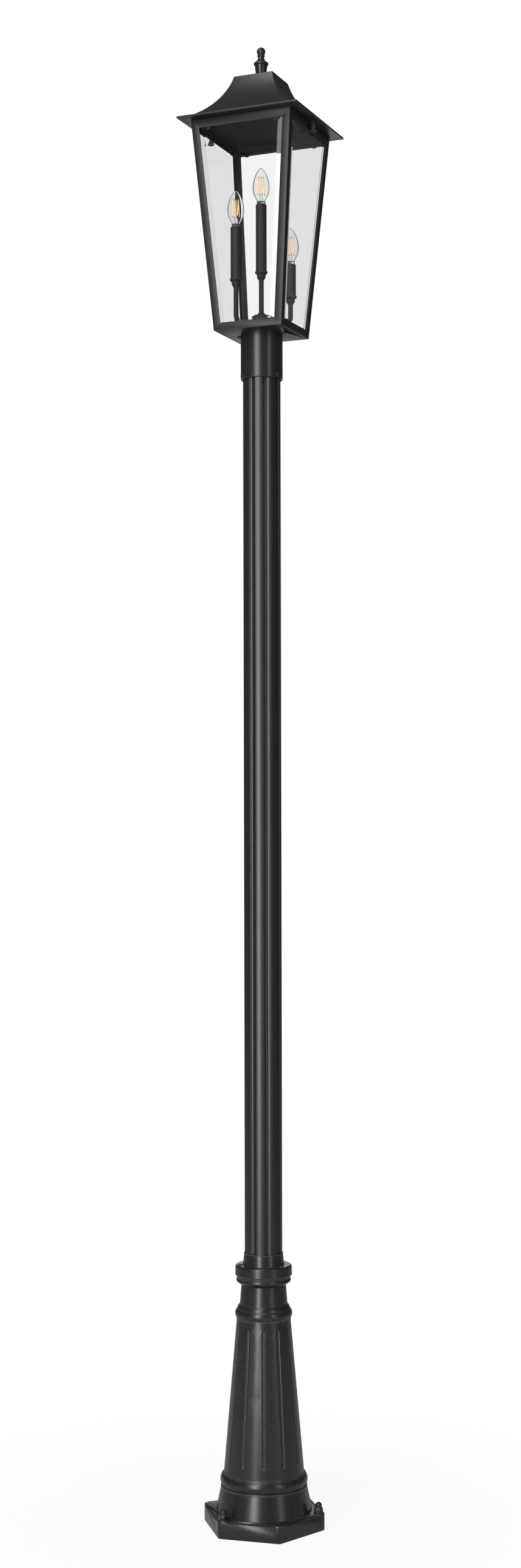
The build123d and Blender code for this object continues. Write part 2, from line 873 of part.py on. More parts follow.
def hub_body():
    cup = turned(
        (nipple_radius + slip_gap, strap_top),
        (hub_radius - 1.0, strap_top),
        (hub_radius, strap_top + 1.0),
        (hub_radius, hub_top),
        (hub_radius - hub_wall, hub_top),
        (hub_radius - hub_wall, hub_floor),
        (nipple_radius + slip_gap, hub_floor),
    )
    hole = rod(arm_radius + slip_gap, 0, hub_radius + 1)
    for turn in (arm_turn, arm_turn + 180):
        cup -= Rot(0, 0, turn) * Pos(0, 0, arm_level) * Rot(0, 90, 0) * hole
    return cup


def hub_cover():
    top = hub_top + hub_cover_height
    rim = hub_cover_radius
    step = rim - hub_cover_step
    inner_step = step - 1.5 * hub_cover_wall

    def level(share):
        return hub_top + share * hub_cover_height

    return turned(
        (hub_radius - hub_wall, hub_top),
        (rim, hub_top),
        (rim, level(0.23)),
        ((rim - hub_cover_step / 3, level(0.41)), (step, level(0.48))),
        (step, level(0.62)),
        ((step - 0.85 * hub_cover_step, level(0.85)), (coupling_radius, top)),
        (arm_radius + slip_gap, top),
        (arm_radius + slip_gap, top - hub_cover_wall),
        (coupling_radius, top - hub_cover_wall),
        ((inner_step - hub_cover_step / 2, level(0.65)), (inner_step, level(0.27))),
        (hub_radius - hub_wall, level(0.13)),
    )


def hub_coupling():
    foot = hub_top + hub_cover_height

    def at(girth, share):
        """Stop at a share of the coupling's radius and a share of its height."""
        return girth * coupling_radius, foot + share * coupling_height

    return turned(
        (arm_radius + slip_gap, foot),
        at(1, 0),
        (at(1.05, 0.27), at(0.93, 0.49)),
        (at(0.97, 0.71), at(0.79, 1)),
        (arm_radius + slip_gap, foot + coupling_height),
    )


def nipple():
    return tube(nipple_radius, nipple_bore_radius, nipple_foot, nipple_top)


def nipple_nuts():
    nut = hexagon(nipple_nut_across_flats, 0, nipple_nut_height)
    nut -= rod(nipple_radius + slip_gap, 0, nipple_nut_height)
    return [Pos(0, 0, fitter_ceiling - nipple_nut_height) * nut, Pos(0, 0, hub_floor) * nut]


# each light: angle and reach of its arm, height of its sleeve's top above the base plate, sleeve length
lights = {
    "center": (0, 0, center_sleeve_top, center_sleeve_length),
    "left": (arm_turn + 180, left_reach, left_sleeve_top, left_sleeve_length),
    "right": (arm_turn, right_reach, right_sleeve_top, right_sleeve_length),
}


def at_light(name, shape):
    """Move a shape built about Z to its light."""
    turn, reach, _, _ = lights[name]
    return Rot(0, 0, turn) * Pos(reach, 0, 0) * Rot(0, 0, -turn) * shape


def sleeve_ends(name):
    """Heights of a sleeve's foot and top."""
    _, _, top, length = lights[name]
    return base_plate_top + top - length, base_plate_top + top


def socket_ends(name):
    top = sleeve_ends(name)[1] - socket_drop
    return top - socket_height, top


def arm(name):
    turn, reach, _, _ = lights[name]
    top = socket_ends(name)[0] + socket_arm_depth
    if not reach:
        return tube(arm_radius, arm_bore_radius, hub_top - 6.0, top)
    start = hub_radius - 2 * hub_wall
    path = FilletPolyline((start, 0, arm_level), (reach, 0, arm_level), (reach, 0, top), radius=arm_bend)
    section = Plane((start, 0, arm_level), x_dir=(0, 1, 0), z_dir=(1, 0, 0))
    ring = section * (Circle(arm_radius) - Circle(arm_bore_radius))
    return Rot(0, 0, turn) * sweep(ring, path)


def cup(name):
    rim = sleeve_ends(name)[0] + cup_recess
    foot = rim - cup_height
    hole = arm_radius + slip_gap

    def at(girth, level):
        """Stop at a share of the way out to the cup's rim and a share of its height."""
        return cup_foot_radius + girth * (cup_radius - cup_foot_radius), foot + level * cup_height

    body = turned(
        (hole, foot),
        at(0, 0),
        at(0, 0.16),
        (at(0.31, 0.23), at(0.38, 0.35)),
        at(0.24, 0.41),
        (at(0.41, 0.58), at(0.84, 0.75)),
        at(1, 0.81),
        at(1, 1),
        (sleeve_radius + slip_gap, rim),
        (sleeve_radius + slip_gap, rim - cup_recess),
        (hole, rim - cup_recess),
    )
    return at_light(name, body)


def sleeve(name):
    foot, top = sleeve_ends(name)
    return at_light(name, tube(sleeve_radius, sleeve_radius - sleeve_wall, foot, top))


def socket(name):
    foot, top = socket_ends(name)
    body = rod(socket_radius, foot, top)
    body -= rod(socket_bore_radius, top - socket_bore_depth, top)
    body -= rod(arm_radius + slip_gap, foot, foot + socket_arm_depth)
    body -= rod(arm_bore_radius - 1, foot, top)
    return at_light(name, body)


# ---- bulbs ----

def glass_base(name):
    """Height where a bulb's glass leaves its collar."""
    return sleeve_ends(name)[1] + bulb_collar_show


def bulb_cap(name):
    top = glass_base(name)
    seat = socket_ends(name)[1] + seat_gap
    foot = seat - bulb_thread_height
    recess = bulb_neck_radius + slip_gap
    body = turned(
        (0, foot - bulb_tip_height),
        (bulb_tip_radius, foot - bulb_tip_height),
        (bulb_thread_radius - 1.0, foot),
        (bulb_thread_radius, foot + 0.5),
        (bulb_thread_radius, seat),
        (bulb_collar_radius, seat),
        (bulb_collar_radius, top - 1.0),
        (bulb_collar_radius - 0.6, top),
        (recess, top),
        (recess, top - bulb_neck_depth - slip_gap),
        (0, top - bulb_neck_depth - slip_gap),
    )
    return at_light(name, body)


def bulb_stops(wall, base):
    """Candle-shaped curve from the neck to the tip, drawn in by the wall: (share of radius, share of height)."""
    shape = [(0.62, 0.09), (0.87, 0.215), (0.995, 0.37), (0.96, 0.54), (0.74, 0.74), (0.36, 0.92)]
    stops = [(bulb_neck_radius - wall, base)]
    stops += [(bulb_radius * r - wall, base + bulb_height * z) for r, z in shape]
    return stops + [(0, base + bulb_height - wall)]


def bulb_glass(name):
    base = glass_base(name)
    foot = base - bulb_neck_depth
    outer = Spline(bulb_stops(0, base), tangents=[(0.15, 1), (-1, -0.25)])
    inner = Spline(bulb_stops(bulb_wall, base), tangents=[(0.15, 1), (-1, -0.25)])
    tip = base + bulb_height
    edges = [
        Line((bulb_neck_radius, foot), (bulb_neck_radius, base)),
        outer,
        Line((0, tip), (0, tip - bulb_wall)),
        inner,
        Line((bulb_neck_radius - bulb_wall, base), (bulb_neck_radius - bulb_wall, foot)),
        Line((bulb_neck_radius - bulb_wall, foot), (bulb_neck_radius, foot)),
    ]
    return at_light(name, revolve(Plane.XZ * make_face(edges), Axis.Z))


def filament_foot(name):
    return glass_base(name) + mount_height + 2 * spider_size


def bulb_mount(name):
    """Glass mount with its rod and the two wire crosses that carry the filaments."""
    base = glass_base(name)
    end_drop = filament_width / 2 * sin(radians(filament_lean()))
    low = filament_foot(name) - spider_size - end_drop
    high = filament_foot(name) + filament_run().Z + end_drop + slip_gap
    body = turned(
        (0, base - bulb_neck_depth),
        (mount_foot_radius, base - bulb_neck_depth),
        ((mount_top_radius + 1.2, base + mount_height * 0.35), (mount_top_radius, base + mount_height)),
        (mount_rod_radius, base + mount_height),
        (mount_rod_radius, high + spider_size),
        (0, high + spider_size),
    )
    half = spider_size / 2
    foot_reach = filament_foot_radius + filament_thickness
    top_reach = filament_top_radius + filament_thickness
    foot_wire = block((0, -half, low - slip_gap), (foot_reach, half, low + spider_size - slip_gap))
    top_wire = block((0, -half, high), (top_reach, half, high + spider_size))
    for turn in even_turns(filament_count, 45):
        body += Rot(0, 0, turn) * foot_wire
        body += Rot(0, 0, turn + filament_twist) * top_wire
    return at_light(name, body)


def filament_run():
    """Way from a filament's foot, on the X axis, to its top, which is turned about the bulb's axis."""
    turn = radians(filament_twist)
    x = filament_top_radius * cos(turn) - filament_foot_radius
    y = filament_top_radius * sin(turn)
    return Vector(x, y, sqrt(filament_length ** 2 - x ** 2 - y ** 2))


def filament_lean():
    """Angle between a filament and the bulb's axis, in degrees."""
    return degrees(acos(filament_run().Z / filament_length))


def bulb_filaments(name):
    strip = Pos(0, 0, filament_length / 2) * Box(filament_thickness, filament_width, filament_length)
    strip = Plane((filament_foot_radius, 0, filament_foot(name)), (1, 0, 0), filament_run()) * strip
    return [at_light(name, Rot(0, 0, turn) * strip) for turn in even_turns(filament_count, 45)]


# ---- nodes ----

write("foot_plate", foot_plate())
write("anchor_washers", *anchor_washers())
write("acorn_nuts", *acorn_nuts())
write("base_column", base_column())
write("post_collar", post_collar())
write("collar_screws", *collar_screws())
write("post_tube", post_tube())
write("fitter_sleeve", fitter_sleeve())
write("clamp_screws", *clamp_screws())
write("base_plate", base_plate())
write("corner_posts", corner_posts())
write("bottom_rails", *rails(frame_foot, frame_foot + bottom_rail_height))
write("top_rails", *top_rails())
write("corner_blocks", corner_blocks())
for side, turn in (("front", 0), ("right", 90), ("back", 180), ("left", 270)):
    write("glass_" + side, Rot(0, 0, turn) * glass_pane())
write("glass_clips", *glass_clips())
write("roof_plate", roof_plate())
write("roof_inserts", *roof_inserts())
write("roof_dome", roof_dome())
write("roof_cap", roof_cap())
write("ceiling_plate", ceiling_plate())
write("ceiling_rivets", *ceiling_rivets())
write("finial", finial())
write("finial_nut", finial_nut())
write("thumb_screw_left", thumb_screw(-1))
write("thumb_screw_right", thumb_screw(1))
write("candle_strap", candle_strap())
write("strap_screws", *strap_screws())
write("nipple", nipple())
write("nipple_nuts", *nipple_nuts())
write("hub_body", hub_body())
write("hub_cover", hub_cover())
write("hub_coupling", hub_coupling())
for light in lights:
    write("arm_" + light, arm(light))
    write("cup_" + light, cup(light))
    write("sleeve_" + light, sleeve(light))
    write("socket_" + light, socket(light))
    write("bulb_cap_" + light, bulb_cap(light))
    write("bulb_glass_" + light, bulb_glass(light))
    write("bulb_mount_" + light, bulb_mount(light))
    write("bulb_filaments_" + light, *bulb_filaments(light))
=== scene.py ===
"""Post lantern with three candle lights: finishes, panes, bulbs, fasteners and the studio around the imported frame."""

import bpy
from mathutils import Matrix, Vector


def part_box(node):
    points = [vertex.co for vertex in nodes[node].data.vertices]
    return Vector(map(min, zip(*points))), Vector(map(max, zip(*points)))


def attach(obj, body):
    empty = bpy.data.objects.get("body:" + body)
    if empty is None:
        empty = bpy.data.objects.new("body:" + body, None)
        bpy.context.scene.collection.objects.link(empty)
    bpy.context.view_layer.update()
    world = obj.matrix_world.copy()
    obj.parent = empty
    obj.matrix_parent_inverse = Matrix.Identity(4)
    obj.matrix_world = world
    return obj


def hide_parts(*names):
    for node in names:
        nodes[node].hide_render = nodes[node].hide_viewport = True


bl_info = {
    "name": "Post Lantern",
    "version": (1, 0, 0),
    "blender": (4, 5, 0),
    "location": "3D View > Sidebar > Lantern",
    "description": "Dresses a post lantern: powder coat, bevelled panes, candle bulbs, fasteners and a studio",
    "category": "Object",
}

from math import cos, pi, radians, sin, sqrt, tau

import bmesh
import bpy
from bpy.props import FloatProperty, FloatVectorProperty, IntProperty, PointerProperty
from mathutils import Matrix, Vector

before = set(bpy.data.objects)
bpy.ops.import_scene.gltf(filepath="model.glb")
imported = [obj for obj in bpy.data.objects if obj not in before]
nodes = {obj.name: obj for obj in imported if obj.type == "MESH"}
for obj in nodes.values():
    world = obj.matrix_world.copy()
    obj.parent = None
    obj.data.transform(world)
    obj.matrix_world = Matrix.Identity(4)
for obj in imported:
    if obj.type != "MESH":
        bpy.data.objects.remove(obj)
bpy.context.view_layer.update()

LIGHTS = ("center", "left", "right")
SIDES = ("front", "right", "back", "left")
WELD = 2e-6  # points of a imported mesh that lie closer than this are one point


# ---- sizes and colours that a user would change ----

def length(name, description, default):
    return FloatProperty(name=name, description=description, default=default, unit="LENGTH", precision=5)


def turning(name, description, degrees):
    return FloatProperty(name=name, description=description, default=radians(degrees), subtype="ANGLE")


def number(name, description, default, **settings):
    return FloatProperty(name=name, description=description, default=default, **settings)


def colour(name, description, default):
    return FloatVectorProperty(name=name, description=description, default=default, subtype="COLOR", size=3)


class LanternSizes(bpy.types.PropertyGroup):
    edge_rounding: length("Edge rounding", "Rounding of the coated sheet's edges", 0.0007)
    casting_rounding: length("Casting rounding", "Rounding of the cast foot's edges", 0.0014)
    flute_count: IntProperty(name="Flutes", description="Channels round the post", default=8)
    flute_width: length("Flute width", "Width of a channel at the post's surface", 0.012)
    flute_depth: length("Flute depth", "Depth of a channel below its two lips", 0.0025)
    flute_lip: length("Flute lip", "Blend between a channel and the post's surface", 0.0009)
    flute_turn: turning("Flute turn", "Angle of the first channel", -54.0)
    post_bore: length("Post bore", "Radius of the post's bore", 0.0335)
    frame_wall: length("Frame wall", "Thickness of the lantern frame's sheet", 0.002)
    leg_width: length("Leg width", "Width of a corner post's two legs", 0.016)
    dome_wall: length("Dome wall", "Thickness of the dome's sheet", 0.0015)
    dome_curve: length("Dome curve", "Radius of the dome's hollow sides", 0.1562)
    dome_foot: length("Dome foot", "Half width of the dome at its foot", 0.118)
    dome_top: length("Dome top", "Half width of the dome at its top", 0.042)
    sleeve_wall: length("Sleeve wall", "Thickness of a candle sleeve", 0.001)
    pane_arris: length("Pane arris", "Ground corner along a pane's edges", 0.0003)
    bulb_wall: length("Bulb wall", "Thickness of a bulb's glass", 0.0008)
    filament_count: IntProperty(name="Filaments", description="Filament strips in a bulb", default=4)
    filament_foot: length("Filament foot", "Distance of a strip's foot from the bulb's axis", 0.0079)
    filament_top: length("Filament top", "Distance of a strip's top from the bulb's axis", 0.0071)
    filament_twist: turning("Filament twist", "Turn of a strip from its foot to its top", 23.0)
    filament_length: length("Filament length", "Length of a strip", 0.034)
    filament_width: length("Filament width", "Width of a strip", 0.0021)
    anchor_radius: length("Anchor radius", "Radius of the circle of anchor bolts", 0.1143)
    foot_turn: turning("Foot turn", "Angle of the foot's first corner", 7.3)
    nut_flats: length("Nut flats", "Width of an acorn nut across its flats", 0.016)
    knurl_depth: length("Knurl depth", "Depth of the thumb screws' grooves", 0.0003)


class LanternFinishes(bpy.types.PropertyGroup):
    coat: colour("Coat", "Black powder coat", (0.011, 0.011, 0.0115))
    coat_fleck: colour("Coat fleck", "Pale flecks in the powder coat's texture", (0.085, 0.085, 0.087))
    # the pale edge tone stands for coat rubbing thin, and is also a painted highlight along edges that catch the light
    coat_edge_wear_and_highlight: colour("Coat edge", "Coat where an edge rubs or catches light", (0.16, 0.16, 0.162))
    sleeve: colour("Sleeve", "Matte black of the candle sleeves", (0.012, 0.012, 0.0125))
    hardware: colour("Hardware", "Black of the screws and nuts", (0.010, 0.010, 0.0105))
    nickel: colour("Nickel", "Bulb collars", (0.68, 0.66, 0.62))
    zinc: colour("Zinc", "Plated fittings inside", (0.55, 0.55, 0.53))
    amber: colour("Amber", "Coated filaments", (0.95, 0.56, 0.22))
    glass_edge: colour("Glass edge", "Tint of the panes", (0.995, 0.993, 0.994))
    dust: colour("Dust", "Dust that settles on upper faces", (0.16, 0.155, 0.145))


class LanternStudio(bpy.types.PropertyGroup):
    lens: number("Lens", "Focal length on a 36 mm sensor", 50.0, subtype="DISTANCE_CAMERA")
    distance: length("Distance", "From the post's axis to the camera", 4.4277)
    height: length("Height", "Height of the camera above the ground", 1.4058)
    azimuth: turning("Azimuth", "Turn of the camera from the front to the right", 23.09)
    roll: turning("Roll", "Turn of the picture", 0.12)
    shift_x: number("Shift X", "Framing, in picture heights", -0.0014)
    shift_y: number("Shift Y", "Framing, in picture heights", 0.0315)
    key: number("Key light", "Soft lights in front and above", 190.0, unit="POWER")
    side: number("Side light", "Narrow light at the left", 0.6, unit="POWER")
    fill: number("Fill light", "Narrow light at the right, and a faint one behind", 34.0, unit="POWER")
    mirrored: number("Mirrored", "Share of the white surroundings in reflections", 0.08)
    ambient: number("Ambient", "Light from all round", 0.10)


# ---- trees of nodes ----

class Wiring:
    """Adds nodes to a tree. A value that is a socket is joined, and any other is set."""

    def __init__(self, tree):
        self.tree = tree

    def add(self, kind, inputs=None, **settings):
        node = self.tree.nodes.new(kind)
        for name, value in settings.items():
            setattr(node, name, value)
        for key, value in (inputs or {}).items():
            if isinstance(value, bpy.types.NodeSocket):
                self.join(value, node.inputs[key])
            else:
                node.inputs[key].default_value = value
        return node

    def join(self, output, entry):
        self.tree.links.new(output, entry)

    def math(self, operation, *values):
        return self.add("ShaderNodeMath", dict(enumerate(values)), operation=operation).outputs[0]

    def product(self, *values):
        result = values[0]
        for value in values[1:]:
            result = self.math("MULTIPLY", result, value)
        return result

    def vector(self, **axes):
        return self.add("ShaderNodeCombineXYZ", {"XYZ".index(axis): value for axis, value in axes.items()}).outputs[0]

    def place(self):
        """Where a point is on the object, as a texture's coordinates."""
        return self.add("ShaderNodeTexCoord").outputs["Object"]

    def noise(self, place, scale, detail, **inputs):
        inputs.update({"Vector": place, "Scale": scale, "Detail": detail})
        return self.add("ShaderNodeTexNoise", inputs).outputs["Fac"]

    def spread(self, value, low, high, to_low=0.0, to_high=1.0, **settings):
        """A value's range stretched to another range, and held inside it."""
        inputs = {"Value": value, "From Min": low, "From Max": high, "To Min": to_low, "To Max": to_high}
        return self.add("ShaderNodeMapRange", inputs, **settings).outputs[0]

    def bump(self, height, distance, **inputs):
        inputs.update({"Height": height, "Distance": distance})
        return self.add("ShaderNodeBump", inputs).outputs["Normal"]

    def scaled(self, colour, share):
        return self.add("ShaderNodeVectorMath", {0: colour, "Scale": share}, operation="SCALE").outputs[0]

    def blend(self, share, first, second):
        return self.add("ShaderNodeMix", {"Factor": share, 6: first, 7: second}, data_type="RGBA").outputs[2]

    def rounded(self, radius):
        """Normals as if each edge were rounded."""
        return self.add("ShaderNodeBevel", {"Radius": radius}, samples=4).outputs[0]

    def shader(self, inputs):
        return self.add("ShaderNodeBsdfPrincipled", inputs).outputs[0]


def new_group(name, kind, inputs, outputs):
    """Node group with its inputs, (name, type, default), and its outputs, (name, type)."""
    tree = bpy.data.node_groups.new(name, kind)
    for label, socket_type, default in inputs:
        socket = tree.interface.new_socket(name=label, in_out="INPUT", socket_type="NodeSocket" + socket_type)
        if default is not None:
            socket.default_value = default
    for label, socket_type in outputs:
        tree.interface.new_socket(name=label, in_out="OUTPUT", socket_type="NodeSocket" + socket_type)
    return Wiring(tree), tree.nodes.new("NodeGroupInput").outputs, tree.nodes.new("NodeGroupOutput").inputs


# ---- effects that several finishes share ----

def powder_grain_group():
    """Fine pebbled texture of a powder coat: its colour with flecks, its roughness and its relief."""
    wire, given, out = new_group("Powder Grain", "ShaderNodeTree", [
        ("Color", "Color", (0.03, 0.03, 0.03, 1)),
        ("Fleck Color", "Color", (0.08, 0.08, 0.08, 1)),
        ("Fleck Amount", "Float", 0.5),
        ("Grain Scale", "Float", 700.0),
        ("Relief", "Float", 0.0001),
        ("Smoothness", "Float", 0.5),
        ("Rounding", "Float", 0.001),
    ], [("Color", "Color"), ("Roughness", "Float"), ("Normal", "Vector")])
    clump_share, cloud_scale = 0.31, 9.0
    clump_relief, rough_swing = 0.15, 0.10
    place = wire.place()
    grain = wire.noise(place, given["Grain Scale"], 2.0, Roughness=0.6)
    clump = wire.noise(place, wire.math("MULTIPLY", given["Grain Scale"], clump_share), 3.0)
    cloud = wire.noise(place, cloud_scale, 2.0)
    fleck = wire.spread(grain, 0.54, 0.70)
    patch = wire.spread(clump, 0.25, 0.60)
    toned = wire.scaled(given["Color"], wire.spread(cloud, 0.0, 1.0, 0.95, 1.05))
    wire.join(wire.blend(wire.product(fleck, patch, given["Fleck Amount"]), toned, given["Fleck Color"]), out["Color"])
    rough = wire.math("MULTIPLY_ADD", grain, rough_swing, given["Smoothness"])
    wire.join(wire.math("SUBTRACT", rough, rough_swing / 2), out["Roughness"])
    height = wire.math("ADD", grain, wire.math("MULTIPLY", clump, clump_relief))
    rounded_edges = wire.rounded(given["Rounding"])
    wire.join(wire.bump(height, given["Relief"], Normal=rounded_edges), out["Normal"])


def edge_wear_and_highlight_group():
    """Mask of the edges where a coat rubs thin, and of a painted highlight along the same edges, broken up by noise."""
    wire, given, out = new_group("Edge Wear And Highlight", "ShaderNodeTree", [
        ("Amount", "Float", 0.5),
        ("Width", "Float", 0.0012),
    ], [("Mask", "Float")])
    geometry = wire.add("ShaderNodeNewGeometry").outputs
    normals = {0: wire.rounded(given["Width"]), 1: geometry["Normal"]}
    agree = wire.add("ShaderNodeVectorMath", normals, operation="DOT_PRODUCT").outputs["Value"]
    bent = wire.math("SUBTRACT", 1.0, agree)
    near = wire.spread(bent, 0.004, 0.05)
    proud = wire.spread(geometry["Pointiness"], 0.47, 0.51)
    chip_scale, least = 160.0, 0.55
    broken = wire.spread(wire.noise(wire.place(), chip_scale, 4.0), 0.30, 0.60, least)
    wire.join(wire.product(near, proud, broken, given["Amount"]), out["Mask"])


def dust_group():
    """Mask of the dust on faces that look up."""
    wire, given, out = new_group("Settled Dust", "ShaderNodeTree", [("Amount", "Float", 0.3)], [("Mask", "Float")])
    coordinates = wire.add("ShaderNodeTexCoord").outputs
    up = wire.add("ShaderNodeSeparateXYZ", {0: coordinates["Normal"]}).outputs["Z"]
    faces_up = wire.spread(up, 0.5, 1.0)
    patchy = wire.spread(wire.noise(coordinates["Object"], 45.0, 5.0), 0.30, 0.75)
    wire.join(wire.product(faces_up, patchy, given["Amount"]), out["Mask"])


# ---- finishes ----

def new_material(name):
    """Empty material, the wiring of its tree and the entry for its surface."""
    material = bpy.data.materials.new(name)
    material.use_nodes = True
    material.node_tree.nodes.clear()
    wire = Wiring(material.node_tree)
    return material, wire, wire.add("ShaderNodeOutputMaterial").inputs["Surface"]


def rgba(values):
    return (*values, 1.0)


def group_node(wire, name, **values):
    """A shared effect, with its inputs set by name."""
    node = wire.add("ShaderNodeGroup", node_tree=bpy.data.node_groups[name])
    for key, value in values.items():
        node.inputs[key.replace("_", " ").title()].default_value = value
    return node.outputs


def coated(name, base, fleck, edge, dust, fleck_amount, grain_scale, relief, smoothness, wear_and_highlight, dust_amount, specular):
    """Powder coat or paint over metal, with its grain, edges where the coat wears thin with a painted highlight along
    them, and dust.
    """
    edge_radius = 0.0012
    _, wire, surface = new_material(name)
    grain = group_node(wire, "Powder Grain", color=rgba(base), fleck_color=rgba(fleck), fleck_amount=fleck_amount,
                       grain_scale=grain_scale, relief=relief, smoothness=smoothness, rounding=edge_radius)
    worn_and_highlit = group_node(wire, "Edge Wear And Highlight", amount=wear_and_highlight, width=edge_radius)
    dusty = group_node(wire, "Settled Dust", amount=dust_amount)
    # painted highlight: the pale edge tone lightens every rounded edge as if it caught the light, besides the rubbing
    rubbed_and_highlit = wire.blend(worn_and_highlit["Mask"], grain["Color"], rgba(edge))
    wire.join(wire.shader({"Base Color": wire.blend(dusty["Mask"], rubbed_and_highlit, rgba(dust)), "Normal": grain["Normal"],
                           "Roughness": grain["Roughness"], "Specular IOR Level": specular}), surface)


def plated(name, base, roughness, scale):
    """Bare or plated metal with fine drawn streaks and small tone changes."""
    _, wire, surface = new_material(name)
    stretched = wire.add("ShaderNodeMapping", {"Vector": wire.place(), "Scale": (1.0, 1.0, 9.0)}).outputs[0]
    streak = wire.noise(stretched, scale, 4.0)
    wire.join(wire.shader({"Base Color": wire.scaled(base, wire.spread(streak, 0.0, 1.0, 0.82, 1.08)),
                           "Roughness": wire.spread(streak, 0.0, 1.0, roughness - 0.04, roughness + 0.08),
                           "Normal": wire.bump(streak, 0.00003), "Metallic": 1.0}), surface)


def clear_glass(name, tint, ripple, ripple_scale):
    """Clear glass with a faint ripple; light passes it freely, so what stands behind stays lit."""
    bending = 1.38
    _, wire, surface = new_material(name)
    glass = wire.shader({"Base Color": rgba(tint), "Roughness": 0.0, "IOR": bending, "Transmission Weight": 1.0,
                         "Normal": wire.bump(wire.noise(wire.place(), ripple_scale, 1.0), ripple)})
    rays = wire.add("ShaderNodeLightPath").outputs
    passes = wire.math("MAXIMUM", rays["Is Shadow Ray"], rays["Is Diffuse Ray"])
    unseen = wire.add("ShaderNodeBsdfTransparent", {"Color": rgba(tint)}).outputs[0]
    wire.join(wire.add("ShaderNodeMixShader", {0: passes, 1: glass, 2: unseen}).outputs[0], surface)


def amber_strip(name, base):
    """Coated filament strip, uneven in tone, with a faint painted glow of its own, though it is no lamp."""
    _, wire, surface = new_material(name)
    toned = wire.scaled(base, wire.spread(wire.noise(wire.place(), 900.0, 2.0), 0.0, 1.0, 0.75, 1.15))
    # painted glow: the strip emits at half strength so that it reads bright and warm
    wire.join(wire.shader({"Base Color": toned, "Emission Color": toned, "Emission Strength": 0.5,
                           "Roughness": 0.45}), surface)


def seen_white(wire, mirrored):
    """Share of white that a ray sees past the object: all for the camera's own view, less in reflections."""
    rays = wire.add("ShaderNodeLightPath").outputs
    bounces = wire.math("ADD", rays["Glossy Depth"], rays["Diffuse Depth"])
    unbent = wire.math("LESS_THAN", bounces, 0.5)
    direct = wire.math("MAXIMUM", rays["Is Camera Ray"], wire.math("MULTIPLY", rays["Is Transmission Ray"], unbent))
    reflected = wire.math("MAXIMUM", rays["Is Glossy Ray"], rays["Is Transmission Ray"])
    return wire.math("MAXIMUM", direct, wire.math("MULTIPLY", reflected, mirrored))


def plain_white(name, shade, near_glow, reach, mirrored):
    """Studio floor that the camera sees white away from the foot, with the foot's shadow kept."""
    material, wire, surface = new_material(name)
    matte = wire.shader({"Base Color": (shade, shade, shade, 1), "Roughness": 0.9, "Specular IOR Level": 0.1})
    white = wire.add("ShaderNodeEmission", {"Color": (1, 1, 1, 1), "Strength": 1.0}).outputs[0]
    away = wire.add("ShaderNodeVectorMath", {0: wire.place()}, operation="LENGTH").outputs["Value"]
    glow = wire.spread(away, 0.1, reach, near_glow, interpolation_type="SMOOTHSTEP")
    share = wire.math("MULTIPLY", seen_white(wire, mirrored), glow)
    wire.join(wire.add("ShaderNodeMixShader", {0: share, 1: matte, 2: white}).outputs[0], surface)
    return material


def make_finishes():
    powder_grain_group()
    edge_wear_and_highlight_group()
    dust_group()
    f = bpy.context.scene.lantern_finishes
    coat = (f.coat, f.coat_fleck, f.coat_edge_wear_and_highlight)
    # painted shade: the coat under the roof is a darker copy of the outer coat, with dimmer flecks and edges, for the
    # shade that falls there
    inside = ((0.008, 0.008, 0.008), f.coat, f.coat_fleck)
    sleeve = (f.sleeve, f.coat_fleck, f.coat_edge_wear_and_highlight)
    hardware = (f.hardware, f.coat_fleck, f.coat_edge_wear_and_highlight)
    phenolic = ((0.07, 0.045, 0.03), (0.12, 0.08, 0.05), (0.14, 0.10, 0.07))
    # fleck amount, grain scale, relief, smoothness, edge rubbing and painted edge highlight, dust amount and specular
    # level
    for name, colours, *amounts in (
            ("coat_sheet", coat, 0.42, 600.0, 0.00007, 0.40, 0.5, 0.04, 0.36),
            ("coat_cast", coat, 0.28, 520.0, 0.00007, 0.28, 0.85, 0.10, 0.5),
            ("coat_post", coat, 0.22, 520.0, 0.00006, 0.31, 0.35, 0.0, 0.5),
            ("coat_smooth", coat, 0.25, 700.0, 0.00004, 0.30, 0.5, 0.05, 0.5),
            ("coat_inside_painted_shade", inside, 0.4, 620.0, 0.00004, 0.62, 0.2, 0.0, 0.2),
            ("sleeve_black", sleeve, 0.15, 1100.0, 0.00004, 0.60, 0.0, 0.05, 0.30),
            ("hardware_black", hardware, 0.2, 900.0, 0.00004, 0.34, 0.5, 0.05, 0.5),
            ("socket_brown", phenolic, 0.5, 300.0, 0.00003, 0.45, 0.1, 0.1, 0.5)):
        coated(name, *colours, f.dust, *amounts)
    for name, base, roughness, scale in (("nickel_plate", f.nickel, 0.10, 500.0), ("zinc_plate", f.zinc, 0.42, 300.0),
                                         ("lead_wire", (0.16, 0.15, 0.14), 0.30, 700.0)):
        plated(name, tuple(base), roughness, scale)
    clear_glass("pane_glass", tuple(f.glass_edge), 0.00002, 14.0)
    clear_glass("bulb_clear_glass", (0.99, 0.99, 0.99), 0.00001, 60.0)
    amber_strip("amber_coat", tuple(f.amber))


# ---- shared shapes ----

def finish(name):
    return bpy.data.materials[name]


def in_scene(name, data):
    """New object, linked to the scene."""
    thing = bpy.data.objects.new(name, data)
    bpy.context.scene.collection.objects.link(thing)
    return thing


def dress(name, mesh, body, material, replaced, smooth=35.0):
    """Show a finished mesh as a piece: its finish, its body and the nodes that it stands for."""
    mesh.materials.clear()
    mesh.materials.append(finish(material))
    mesh.polygons.foreach_set("material_index", [0] * len(mesh.polygons))
    mesh.shade_smooth()
    mesh.set_sharp_from_angle(angle=radians(smooth))
    piece = in_scene(name, mesh)
    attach(piece, body)
    if replaced:
        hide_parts(*replaced)


def written(name, bm):
    mesh = bpy.data.meshes.new(name)
    bm.to_mesh(mesh)
    bm.free()
    return mesh


def to_mesh(name, bm):
    """Mesh of the faces in bm, all turned outwards."""
    bmesh.ops.recalc_face_normals(bm, faces=bm.faces)
    return written(name, bm)


